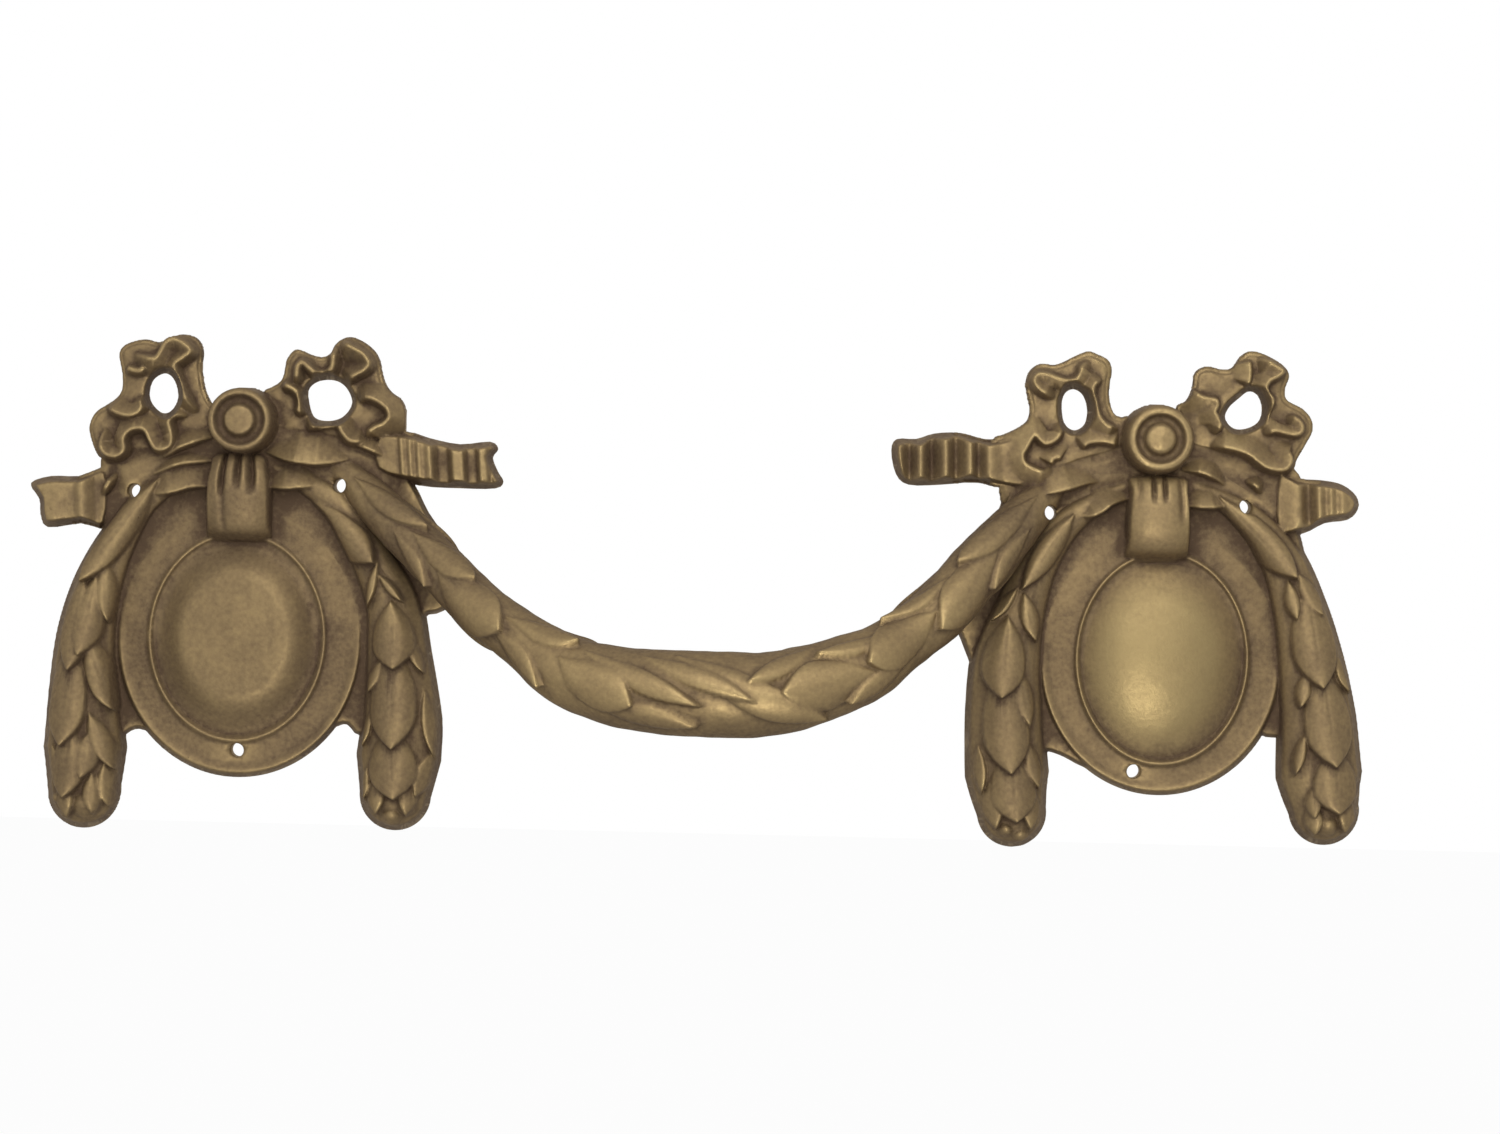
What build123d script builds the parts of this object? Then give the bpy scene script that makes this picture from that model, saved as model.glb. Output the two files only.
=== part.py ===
# Cast brass cabinet handle: two oval back plates with ribbon bows and laurel, joined by one laurel swag
from build123d import *
from math import atan2, cos, degrees, hypot, pi, radians, sin
import os

# Driving dimensions in millimetres. While it is shaped the casting lies on its back:
# x to the right, y up the plate, z out from the cabinet front.
left_knot = (-69.8, 51.0)
right_knot = (71.8, 51.2)
web_thick = 2.6
nail_hole_dia = 2.2
nail_drill_reach = 15

medallion_half_width = 18.8
medallion_half_height = 20.8
medallion_facets = 36
# Turned profile of the oval, rim to middle: share of the half width, then the height
dish_profile = [
    (1.0, 0), (1.0, 2.2), (0.965, 3.0), (0.91, 2.8), (0.76, 2.8), (0.725, 3.5), (0.685, 2.9),
    (0.64, 3.4), (0.55, 4.8), (0.42, 5.8), (0.24, 6.2),
]
back_hollow_share = 0.56
back_hollow_depth = 2.2
back_hollow_taper = 20

# Turned profile of the rosette over the knot, rim to middle: share of the radius, then the height
rosette_radius = 5.6
rosette_facets = 26
rosette_profile = [
    (1.0, 0), (0.98, 6.0), (0.88, 8.3), (0.75, 8.9), (0.65, 7.9), (0.49, 7.8), (0.42, 8.6), (0.3, 9.1),
]

# Strap that drops from the knot, bulges forward and turns in under itself: share of the drop, of the height
strap_top = -5.6
strap_width = 9.0
strap_length = 12.8
strap_height = 8.2
strap_bulge = [(0, 0.72), (0.22, 0.96), (0.55, 1.0), (0.85, 0.9), (1.0, 0.62)]
strap_shoulder = 2.2
strap_flutes = 5
strap_flute = [(0, 0), (0.3, 0.5), (0.7, 0.5)]

ribbon_edge = 2.8
ribbon_crest = 6.6
ribbon_ruffle = 1.2
ribbon_hem = 0.5
tail_crest = 6.2
tail_valley = 4.4
tail_wave = [(0, 0), (0.3, 0.9), (0.5, 1), (0.7, 0.9), (0.97, 0)]
tail_reach = 20

garland_height = 7.4
garland_full_width = 12
garland_side = 1.8
garland_facets = 7
swag_facets = 16
leaf_root = 2.4
leaf_keel = 1.0
leaf_edge = 0.45
leaf_lift = 5.0
leaf_sink = 0.7
# Half outline of a leaf, from its base to near its tip: share of the width, share of the length
leaf_outline = [(0, 0), (0.34, 0.18), (0.5, 0.45), (0.36, 0.74)]

# Nail holes, measured from the object's own origin: midway between the two lower ones
lower_holes = [(-69.25, 0), (69.25, 0)]
upper_holes = [(-85.9, 39.6), (-54.1, 41.2), (55.2, 39.6), (85.3, 41.2)]

# Outline of the thin web behind each plate's ornament, from the knot as (0, 0)
left_web = [
    (0, 3), (7, 1), (20, -2.5), (25.5, -10), (33, -19), (34.4, -25), (32.2, -28.6), (29.1, -29.2),
    (27, -38), (24, -47.6), (17.4, -46.4), (14, -48), (-14, -48), (-18, -49), (-24, -36),
    (-22.4, -24), (-21, -18), (-21.4, -12), (-20.4, -7), (-7, -1),
]
right_web = [
    (0, 3), (-8, 1), (-23, -1.5), (-25.6, -10.6), (-30, -16), (-34, -24), (-31.4, -29.4), (-28.4, -34.6),
    (-26, -40), (-20, -48), (-14, -48), (13, -46.4), (17, -45), (24, -44), (25, -33),
    (24.5, -24), (21.6, -12), (20.5, -5), (12, -1),
]

# Garlands hanging at the sides of each oval, top to bottom: x, y from the knot, then the width
left_plate_garlands = [
    [
        (-4.0, -7.6, 4.6), (-12.8, -11.6, 5.8), (-18.2, -18.2, 7.0), (-21.6, -25.5, 8.0), (-23.3, -33.0, 9.4),
        (-23.8, -41.0, 10.9), (-23.5, -51.0, 12.6), (-23.3, -58.2, 11.0), (-23.2, -62.2, 8.0), (-23.2, -64.3, 3.0),
    ],
    [
        (5.4, -7.0, 4.6), (13.8, -11.6, 5.8), (18.6, -17.6, 7.0), (21.4, -22.5, 7.8), (24.0, -28.0, 9.2),
        (25.0, -35.6, 10.8), (25.6, -45.6, 12.4), (25.4, -57.8, 11.2), (25.3, -62.0, 8.0), (25.3, -64.1, 3.0),
    ],
]
right_plate_garlands = [
    [
        (-5.4, -7.4, 4.6), (-12.1, -11.7, 5.8), (-17.6, -18.2, 7.0), (-20.8, -25.6, 8.4), (-22.4, -33.6, 10.4),
        (-22.7, -42.0, 11.4), (-22.2, -52.0, 12.4), (-21.3, -58.0, 10.6), (-20.6, -62.0, 7.6), (-20.2, -64.2, 3.0),
    ],
    [
        (5.6, -7.0, 4.6), (13.2, -11.1, 5.8), (19.3, -17.7, 7.6), (22.8, -25.6, 9.0), (24.8, -33.8, 10.8),
        (26.0, -42.2, 12.2), (26.6, -51.0, 12.6), (26.7, -57.0, 10.8), (26.6, -60.4, 8.0), (26.5, -62.6, 3.0),
    ],
]

# Leaves on a hanging garland: drop of the tip below the knot, angle round the core, length, width
garland_leaf_rows = [
    (28.5, 0, 10.5, 5.2), (38.2, 0, 14.0, 6.6), (50.0, 0, 14.0, 7.2), (58.2, 0, 11.5, 6.8),
    (31.0, -60, 12.5, 5.0), (42.0, -60, 13.0, 5.4), (52.5, -60, 12.5, 5.6),
    (32.5, 60, 12.5, 5.0), (43.5, 60, 13.0, 5.4), (54.0, 60, 12.5, 5.6),
]

# The swag across the gap: x, y, z from the object's origin, then the diameter
swag_line = [
    (-55.0, 45.0, 2.4, 6.0), (-46.7, 37.1, 6.0, 7.8), (-37.7, 29.0, 9.5, 8.4), (-31.2, 22.7, 13.0, 8.8),
    (-24.8, 17.8, 16.0, 9.8), (-18.0, 14.6, 18.4, 11.0), (-6.5, 11.9, 21.2, 12.2), (3.0, 11.1, 22.0, 12.5),
    (14.1, 11.8, 21.2, 12.0), (25.9, 16.0, 18.5, 10.8), (31.9, 19.5, 16.0, 9.2), (38.0, 24.2, 13.0, 8.8),
    (44.2, 31.2, 9.5, 8.6), (50.4, 38.0, 6.0, 7.8), (56.2, 44.6, 2.4, 6.0),
]

# Leaves on the swag: x of the tip, angle round the core, length, width, and the angle off the core's line
left_swag_leaves = [
    (-40.9, 46, 12.0, 4.4, 0), (-35.5, -64, 9.0, 3.6, 0), (-32.4, 38, 12.0, 4.8, 0),
    (-25.6, -5, 13.0, 8.0, 0), (-17.8, -58, 10.0, 4.0, 0), (-16.4, 52, 11.0, 4.6, 0),
    (-6.3, -16, 14.0, 7.0, -8), (3.0, 4, 15.0, 4.6, -10), (14.0, -18, 14.0, 5.6, -8),
]
right_swag_leaves = [
    (41.6, 37, 13.0, 4.8, 0), (35.2, -18, 13.0, 7.2, 0), (30.4, 57, 10.0, 3.8, 0),
    (22.4, 8, 14.0, 7.0, 0), (21.2, -50, 10.0, 4.0, 0), (13.2, 2, 13.0, 7.8, 0), (8.6, 18, 14.0, 4.4, 14),
]

# Bow loops from the knot: centre of the eye, its half width and half height, then the folds
# as angle about the eye, radius of the outer edge and radius of the crest
left_plate_loops = [
    ((-11.7, 3.8), (2.3, 3.0), [
        (-40, 8.0, 5.2), (0, 6.6, 4.6), (27, 7.6, 3.6), (47, 8.8, 4.8), (62, 9.8, 8.4), (80, 9.1, 8.0),
        (98, 7.9, 5.3), (112, 8.6, 5.5), (130, 9.3, 7.0), (150, 7.2, 5.8), (174, 6.2, 3.6),
        (197, 10.8, 8.2), (213, 13.4, 8.6), (226, 13.8, 12.2), (240, 11.4, 9.6), (250, 9.6, 6.2),
        (266, 9.8, 8.6), (281, 9.4, 7.9), (293, 8.6, 4.4),
    ]),
    ((13.9, 3.2), (3.5, 3.2), [
        (-135, 7.6, 5.4), (-118, 7.0, 4.6), (-92, 6.6, 4.2), (-66, 7.4, 4.6), (-46, 9.6, 8.2),
        (-30, 11.6, 8.4), (-14, 12.2, 9.6), (3, 11.0, 5.6), (18, 9.0, 6.0), (34, 9.6, 5.4),
        (46, 10.1, 8.4), (62, 10.4, 8.8), (80, 9.9, 6.4), (98, 6.9, 4.4), (116, 8.2, 4.8),
        (128, 9.3, 7.4), (142, 8.4, 6.4), (164, 7.9, 5.6), (190, 8.4, 4.6),
    ]),
]
right_plate_loops = [
    ((-13.1, 4.8), (2.0, 3.4), [
        (-50, 7.6, 5.6), (-22, 7.0, 4.2), (4, 5.9, 3.4), (24, 5.8, 3.6), (44, 7.6, 5.0),
        (58, 8.9, 7.4), (78, 8.9, 6.6), (98, 7.5, 4.5), (118, 7.2, 5.0), (136, 8.5, 7.0),
        (152, 8.2, 6.0), (176, 6.7, 3.8), (196, 8.0, 4.2), (214, 11.4, 6.4), (228, 13.0, 11.2),
        (242, 12.2, 10.2), (256, 9.6, 7.4), (284, 8.0, 5.4),
    ]),
    ((12.8, 5.0), (3.0, 3.1), [
        (-140, 7.8, 6.2), (-118, 8.2, 6.6), (-98, 7.6, 5.4), (-74, 9.4, 6.0), (-58, 11.8, 9.8),
        (-42, 11.2, 9.2), (-28, 10.6, 5.6), (-12, 10.9, 8.4), (2, 9.2, 6.4), (18, 6.9, 4.4),
        (36, 8.7, 6.0), (52, 9.4, 7.4), (70, 9.5, 6.2), (86, 9.8, 7.6), (106, 6.9, 5.0),
        (122, 7.8, 5.4), (142, 9.3, 6.0), (164, 8.6, 5.4), (190, 8.4, 4.6),
    ]),
]

# Ribbon tails from the knot: where the waves start, how long one is and their number, then the outline
left_plate_tails = [
    (-33.2, 4.9, 3, [(-20, -8.4), (-33.0, -10.4), (-31.2, -13.4), (-31.6, -15.6), (-29.6, -17.3), (-20, -16.8)]),
    (41.6, -5.0, 4, [
        (22, -1.4), (26, -1.2), (31, -2.8), (39.6, -2.6), (38.8, -5.1), (41.2, -8.6), (38, -9.9), (22, -9.4),
    ]),
]
right_plate_tails = [
    (-41.4, 3.5, 6, [
        (-20, 0.2), (-32, 0.5), (-40.4, -0.8), (-41.1, -2.4), (-39.8, -6.8), (-37.8, -7.6), (-20, -7.0),
    ]),
    (31.6, -2.6, 5, [(19, -4.6), (27, -5.5), (30.4, -7.2), (31.4, -9.4), (29.8, -11.6), (19, -12.8)]),
]

# Single leaves laid over the top of a plate: base x, y, tip x, y, width and height of the tip
left_plate_leaves = [
    (-3.0, -8.8, -15.0, -11.4, 3.4, 6.6), (-6.0, -8.2, -19.8, -22.6, 5.0, 7.0),
    (4.0, -5.4, 18.4, -5.6, 4.2, 6.8), (4.6, -9.4, 16.2, -9.2, 3.0, 6.4),
    (10.6, -12.0, 21.4, -21.4, 4.8, 7.2), (-4.0, -4.0, -13.5, -5.4, 3.4, 6.2),
]
right_plate_leaves = [
    (-3.4, -9.0, -14.8, -11.2, 3.0, 6.4), (-3.6, -3.2, -21.8, -7.6, 4.6, 6.8),
    (-12.6, -11.8, -20.9, -23.2, 4.9, 7.2), (3.6, -9.0, 12.8, -9.6, 3.2, 6.4),
    (10.8, -10.6, 20.6, -21.2, 5.4, 7.2), (4.6, -3.6, 16.4, -3.8, 3.6, 6.2),
]

left_plate_parts = dict(
    oval=(0.7, -34.0), rosette=(0.6, -0.3), web=left_web, garlands=left_plate_garlands,
    loops=left_plate_loops, tails=left_plate_tails, leaves=left_plate_leaves,
)
right_plate_parts = dict(
    oval=(1.3, -33.7), rosette=(-0.5, -0.2), web=right_web, garlands=right_plate_garlands,
    loops=right_plate_loops, tails=right_plate_tails, leaves=right_plate_leaves,
)


# Prism standing on z = 0 over a flat outline, whichever way round its points run
def upright(points, height):
    return extrude(Polygon(*points, align=None), amount=height, dir=(0, 0, 1))


# Solid between rings of points: each ring is joined to the next by triangles, and flat ends close it
def skin(rings, closed=False):
    onward = rings[1:] + rings[:1] if closed else rings[1:]
    faces = []
    for ring, following in zip(rings, onward):
        for here in range(len(ring)):
            after = (here + 1) % len(ring)
            faces.append(make_face(Polyline(ring[here], ring[after], following[after], close=True)))
            faces.append(make_face(Polyline(ring[here], following[after], following[here], close=True)))
    if not closed:
        faces += [make_face(Polyline(*ring, close=True)) for ring in (rings[0], rings[-1])]
    return Solid(Shell(faces))


# The points of a flat section, set on a plane that crosses the form
def set_on(frame, points):
    return [frame.from_local_coords(Vector(x, y, 0)) for x, y in points]


# A laurel leaf: a pointed oval that stands on its root, its top folded along a keel and tipped up
def laurel_leaf(length, width):
    right_edge = [(x * width, y * length) for x, y in leaf_outline]
    left_edge = [(-x, y) for x, y in right_edge[:0:-1]]
    outline = right_edge + [(0, length)] + left_edge
    blade = Pos(0, 0, -leaf_root) * upright(outline, leaf_root + 2 * leaf_keel)
    eaves = 2 * leaf_edge - leaf_keel
    below = -3 * leaf_root
    gable = [(-width, below), (width, below), (width, eaves), (0, leaf_keel), (-width, eaves)]
    roof = Polygon(*gable, align=None)
    fold = extrude(Plane.XZ.offset(-2 * length) * roof, amount=4 * length)
    return blade & fold


# A leaf from one point of a plate to another, its base sunk and its tip at a given height
def laid_leaf(base_x, base_y, tip_x, tip_y, width, tip_height):
    run = hypot(tip_x - base_x, tip_y - base_y)
    heading = degrees(atan2(tip_y - base_y, tip_x - base_x)) - 90
    base_height = tip_height - leaf_keel - run * sin(radians(leaf_lift))
    place = Pos(base_x, base_y, base_height) * Rot(0, 0, heading) * Rot(leaf_lift, 0, 0)
    return place * laurel_leaf(run, width)


# Share of a line's length at each of the points it passes through
def point_shares(points):
    steps = [Vector(end).sub(Vector(start)).length for start, end in zip(points, points[1:])]
    return [sum(steps[:count]) / sum(steps) for count in range(len(points))]


# Value at a place between the stations of a list, on the straight line from one to the next
def read_off(places, values, place):
    step = max(index for index in range(len(places) - 1) if index == 0 or places[index] <= place)
    share = (place - places[step]) / (places[step + 1] - places[step])
    return values[step] + (values[step + 1] - values[step]) * share


def core_height(width):
    return garland_height * (width / garland_full_width) ** 0.5


# Half-round garland core that lies on the plate, carried through its stations
def garland_core(stations, line, shares):
    rings = []
    for (x, y, width), share in zip(stations, shares):
        along = line % share
        rise = core_height(width) - garland_side
        turns = [pi * facet / garland_facets for facet in range(garland_facets + 1)]
        crown = [(width / 2 * cos(turn), garland_side + rise * sin(turn)) for turn in turns]
        frame = Plane(origin=(x, y, 0), x_dir=(-along.Y, along.X, 0), z_dir=along)
        rings.append(set_on(frame, [(-width / 2, 0), (width / 2, 0)] + crown))
    return skin(rings)


# Hanging garland: the core, with leaves on its front and on both flanks that point down like scales
def hanging_garland(stations):
    points = [(x, y) for x, y, width in stations]
    widths = [width for x, y, width in stations]
    line = Spline(points)
    shares = point_shares(points)
    pieces = [garland_core(stations, line, shares)]
    for drop, side, length, width in garland_leaf_rows:
        tip = read_off([-y for x, y in points], shares, drop)
        base = tip - length / line.length
        along = line % ((tip + base) / 2)
        across = Vector(-along.Y, along.X, 0)
        core_width = read_off(shares, widths, tip)
        turn = radians(side)
        foot = line @ base + across * ((core_width - leaf_sink) / 2 * sin(turn))
        height = garland_side + (core_height(core_width) - garland_side) * cos(turn) - leaf_sink
        up = across * sin(turn) + Vector(0, 0, cos(turn))
        place = Plane(origin=(foot.X, foot.Y, height), x_dir=along.cross(up), z_dir=up)
        pieces.append(place.location * Rot(leaf_lift, 0, 0) * laurel_leaf(length, width))
    return pieces


# Ruffled ribbon loop: five-sided sections set round the eye, their crest swinging in and out
def ribbon_loop(centre, eye, folds):
    rings = []
    for angle, outer, crest in folds:
        turn = radians(angle)
        inner = eye[0] * eye[1] / hypot(eye[1] * cos(turn), eye[0] * sin(turn))
        crest = min(max(crest, inner + ribbon_hem), outer - ribbon_hem)
        height = ribbon_crest - ribbon_ruffle * (outer - crest) / (outer - inner)
        outline = [(inner, 0), (outer, 0), (outer, ribbon_edge), (crest, height), (inner, ribbon_edge)]
        spoke = (cos(turn), sin(turn), 0)
        frame = Plane(origin=(*centre, 0), x_dir=spoke, z_dir=(sin(turn), -cos(turn), 0))
        rings.append(set_on(frame, outline))
    return skin(rings, closed=True)


# Waved ribbon tail: the waves run out along x and are cut to the tail's outline
def ribbon_tail(start, pitch, waves, outline):
    rise = tail_crest - tail_valley
    tops = []
    for wave in range(waves):
        tops += [(start + pitch * (wave + share), tail_valley + rise * lift) for share, lift in tail_wave]
    waved = Polygon((start, 0), *tops, (tops[-1][0], 0), align=None)
    return upright(outline, 2 * tail_crest) & extrude(Plane.XZ * waved, amount=2 * tail_reach, both=True)


# Turned form, round or oval, with a flat top: each ring of its profile drawn in evenly all round
def turned(profile, half_width, half_height, facets):
    turns = [2 * pi * facet / facets for facet in range(facets)]
    rings = []
    for share, height in profile:
        x_reach = share * half_width
        y_reach = x_reach + half_height - half_width
        rings.append([(x_reach * cos(turn), y_reach * sin(turn), height) for turn in turns])
    return skin(rings)


# Fluted strap that drops from the knot, bulges forward and turns in under itself
def strap():
    rings = []
    for drop, share in strap_bulge:
        half = strap_width / 2 * (0.9 + 0.1 * share)
        height = strap_height * share
        step = 2 * half / strap_flutes
        crown = []
        for flute in range(strap_flutes):
            for place, bulge in strap_flute:
                x = -half + (flute + place) * step
                crown.append((x, height - strap_shoulder * abs(x / half) ** 3 + bulge))
        outline = [(half, 0), (half, height - strap_shoulder)] + crown[::-1] + [(-half, 0)]
        rings.append([(x, strap_top - strap_length * drop, z) for x, z in outline])
    return skin(rings)


# Shallow oval hollow in the back, behind the dome
def back_hollow():
    mouth = Ellipse(back_hollow_share * medallion_half_width, back_hollow_share * medallion_half_height)
    return extrude(mouth, amount=back_hollow_depth, taper=back_hollow_taper)


def back_plate(knot, oval, rosette_place, web_outline, garlands, loops, tails, leaves):
    medallion = turned(dish_profile, medallion_half_width, medallion_half_height, medallion_facets)
    rosette = turned(rosette_profile, rosette_radius, rosette_radius, rosette_facets)
    pieces = [Pos(*oval, 0) * medallion, Pos(*rosette_place, 0) * rosette, Pos(rosette_place[0], 0) * strap()]
    pieces += [ribbon_loop(*loop) for loop in loops]
    pieces += [ribbon_tail(*tail) for tail in tails]
    pieces += [laid_leaf(*leaf) for leaf in leaves]
    for stations in garlands:
        pieces += hanging_garland(stations)
    web = upright(web_outline, web_thick)
    for centre, eye, folds in loops:
        web -= Pos(*centre, 0) * extrude(Ellipse(*eye), amount=web_thick)
    return Pos(*knot, 0) * (web + pieces - Pos(*oval, 0) * back_hollow())


# Swag: a round core bowed away from the cabinet, with leaves that point to its middle from both ends
def swag():
    points = [(x, y, z) for x, y, z, width in swag_line]
    widths = [width for x, y, z, width in swag_line]
    line = Spline(points)
    shares = point_shares(points)
    turns = [2 * pi * facet / swag_facets for facet in range(swag_facets)]
    rings = []
    for point, width, share in zip(points, widths, shares):
        along = line % share
        frame = Plane(origin=point, x_dir=(-along.Y, along.X, 0), z_dir=along)
        rings.append(set_on(frame, [(width / 2 * cos(turn), width / 2 * sin(turn)) for turn in turns]))
    pieces = [skin(rings)]
    for heading, leaves in ((1, left_swag_leaves), (-1, right_swag_leaves)):
        for tip_x, side, length, width, veer in leaves:
            tip = read_off([x for x, y, z in points], shares, tip_x)
            base = tip - heading * length / line.length
            along = line % ((tip + base) / 2)
            across = Vector(-along.Y, along.X, 0).normalized()
            up = across * sin(radians(side)) + along.cross(across) * cos(radians(side))
            foot = line @ base + up * (read_off(shares, widths, base) / 2 - leaf_sink)
            place = Plane(origin=foot, x_dir=(along * heading).cross(up), z_dir=up)
            pieces.append(place.location * Rot(leaf_lift, 0, veer) * laurel_leaf(length, width))
    return pieces


def make_plate(knot, parts):
    return back_plate(knot, parts["oval"], parts["rosette"], parts["web"], parts["garlands"], parts["loops"],
                      parts["tails"], parts["leaves"])


casting = make_plate(left_knot, left_plate_parts) + make_plate(right_knot, right_plate_parts) + swag()
for x, y in lower_holes + upper_holes:
    casting -= Pos(x, y, 0) * Cylinder(nail_hole_dia / 2, 2 * nail_drill_reach)
casting = split(casting, bisect_by=Plane.XY)

# Stood up: the back against the cabinet at y = 0, the ornament towards -y
casting = Rot(90, 0, 0) * casting
casting.label = "handle_casting"
os.makedirs("parts", exist_ok=True)
export_step(casting, "parts/handle_casting.step")
print("handle_casting", casting.bounding_box().size, "solids", len(casting.solids()))
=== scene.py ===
# Cast brass cabinet handle: two oval plates with ribbon bows and laurel, joined by a laurel swag
import math
import bpy
import numpy as np
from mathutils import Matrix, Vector


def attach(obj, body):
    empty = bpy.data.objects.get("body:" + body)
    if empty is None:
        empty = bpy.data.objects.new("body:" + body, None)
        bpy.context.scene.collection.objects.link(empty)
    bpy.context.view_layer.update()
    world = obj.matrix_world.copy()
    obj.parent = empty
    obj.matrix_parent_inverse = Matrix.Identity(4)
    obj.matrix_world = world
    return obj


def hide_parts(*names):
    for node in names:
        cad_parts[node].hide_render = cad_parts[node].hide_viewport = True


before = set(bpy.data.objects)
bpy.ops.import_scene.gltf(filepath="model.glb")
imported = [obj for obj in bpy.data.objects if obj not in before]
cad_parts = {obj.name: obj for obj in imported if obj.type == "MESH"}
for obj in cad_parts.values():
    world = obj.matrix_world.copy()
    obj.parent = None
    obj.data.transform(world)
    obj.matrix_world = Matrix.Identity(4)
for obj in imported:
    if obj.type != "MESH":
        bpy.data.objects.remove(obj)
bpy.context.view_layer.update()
mm = 0.001

# The relief is worked out in millimetres: across to the right, up the plate, height out from the back.
relief = dict(
    step=0.19,  # spacing of the grid of a plate
    draft=5.0,  # fall of a side wall, for each millimetre outwards
    floor=-4.0,  # lowest height outside the outline
    weld=0.35,  # softness where one form meets the next
    spread=(0.009, 4.0),  # walls lean outwards: share at the back, height where it ends
    middle=(9.28, 30.15),  # x and z of the point that they lean away from
    triangles=196000,
)


# Cubic line through the points, each stretch leaving along the chord between its neighbours
def smoothLine(points, closed=False, steps=6):
    p = np.array(points, float)
    if closed:
        ends = (p[-1:], p[:2])
    else:
        ends = (2 * p[:1] - p[1:2], 2 * p[-1:] - p[-2:-1])
    q = np.concatenate([ends[0], p, ends[1]])
    t = (np.arange(steps) / steps)[None, :, None]
    a, b, c, d = (q[k:len(q) - 3 + k, None, :] for k in range(4))
    line = 2 * b + (c - a) * t + (2 * a - 5 * b + 4 * c - d) * t ** 2 + (3 * b - a - 3 * c + d) * t ** 3
    line = 0.5 * line.reshape(-1, p.shape[1])
    return np.concatenate([line, line[:1] if closed else p[-1:]])


# Nearest point of a line for each place: distance, share of its length, and side, positive on the left
def alongLine(x, y, line):
    run = np.concatenate([[0], np.cumsum(np.hypot(*np.diff(line, axis=0).T))])
    best, share, side = (np.full(x.shape, value) for value in (1e9, 0.0, 1.0))
    for k in range(len(line) - 1):
        (ax, ay), (dx, dy) = line[k], line[k + 1] - line[k]
        squared = max(dx * dx + dy * dy, 1e-12)
        t = np.clip(((x - ax) * dx + (y - ay) * dy) / squared, 0, 1)
        ex, ey = x - ax - t * dx, y - ay - t * dy
        near = ex * ex + ey * ey
        closer = near < best
        best[closer] = near[closer]
        share[closer] = ((run[k] + t * (run[k + 1] - run[k])) / run[-1])[closer]
        side[closer] = np.sign(dx * ey - dy * ex)[closer]
    return np.sqrt(best), share, side


# Depth inside a closed outline: the distance to it, negative outside
def insideDepth(x, y, outline):
    distance = alongLine(x, y, outline)[0]
    inside = np.zeros(x.shape, bool)
    for (ax, ay), (bx, by) in zip(outline[:-1], outline[1:]):
        if ay != by:
            inside ^= ((ay > y) != (by > y)) & (x < (bx - ax) * (y - ay) / (by - ay) + ax)
    return np.where(inside, distance, -distance)


# Lower of two heights, the corner between them rounded over a band as wide as soft
def softMin(a, b, soft):
    share = np.clip(0.5 + 0.5 * (b - a) / soft, 0, 1)
    return b + (a - b) * share - soft * share * (1 - share)


# Slow unevenness of a hand-cut pattern: the sum of crossed sine waves, between about -1 and 1
def unevenness(x, y, size, seed=0.0):
    u, v = x / size + 7.3 * seed, y / size - 4.1 * seed
    waves = np.sin(1.9 * u + 1.1 * v + seed) + np.sin(-1.3 * u + 2.3 * v + 1.7)
    waves += 0.6 * np.sin(3.7 * u - 2.9 * v + 0.6) + 0.6 * np.sin(2.3 * u + 4.1 * v + 2.9 * seed)
    return waves / 2.4


# A plate's sheet of heights, and the window of it round some points
def newSheet(low, high):
    xs = np.arange(low[0], high[0], relief["step"])
    ys = np.arange(low[1], high[1], relief["step"])
    x, y = np.meshgrid(xs, ys)
    return dict(xs=xs, ys=ys, x=x, y=y, h=np.full(x.shape, relief["floor"]))


def window(sheet, points, margin):
    points = np.asarray(points, float)
    low, high = points.min(0) - margin, points.max(0) + margin
    cols = slice(*np.searchsorted(sheet["xs"], (low[0], high[0])))
    rows = slice(*np.searchsorted(sheet["ys"], (low[1], high[1])))
    return rows, cols


# Lays a form into the sheet: the higher of the two, the corner between them softened
def weldIn(sheet, spot, height, soft=None):
    sheet["h"][spot] = -softMin(-sheet["h"][spot], -height, soft or relief["weld"])


# Form with a rounded edge: the height from top(), cut down by the draft towards the outline
def raiseOutline(sheet, outline, top, rounding, soft=None):
    spot = window(sheet, outline, 1.5)
    x, y = sheet["x"][spot], sheet["y"][spot]
    depth = insideDepth(x, y, outline)
    weldIn(sheet, spot, softMin(top(x, y, depth), relief["draft"] * depth, rounding), soft)


# Ledge along a line, lower and thinner towards its ends: a side over 1 mm wide falls evenly, a narrower
# one as a bell curve
def ledge(sheet, points, crest, base, leftWidth, rightWidth, taper=0.12, soft=0.3):
    line = smoothLine(points)
    spot = window(sheet, line, 3 * max(leftWidth, rightWidth, 1))
    distance, share, side = alongLine(sheet["x"][spot], sheet["y"][spot], line)
    ends = np.clip(np.minimum(share, 1 - share) / taper, 0.02, 1) ** 0.6
    full = np.where(side > 0, leftWidth, rightWidth)
    away = np.maximum(distance - 0.15, 0) / (full * (0.3 + 0.7 * ends))
    fall = np.where(full > 1, np.clip(1 - 0.45 * away, 0, 1), np.exp(-(1.2 * away) ** 2))
    rise = base + (crest - base) * fall * ends
    inside = sheet["h"][spot] > 0.5
    weldIn(sheet, spot, np.where(inside, rise, relief["floor"]), soft)


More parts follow.
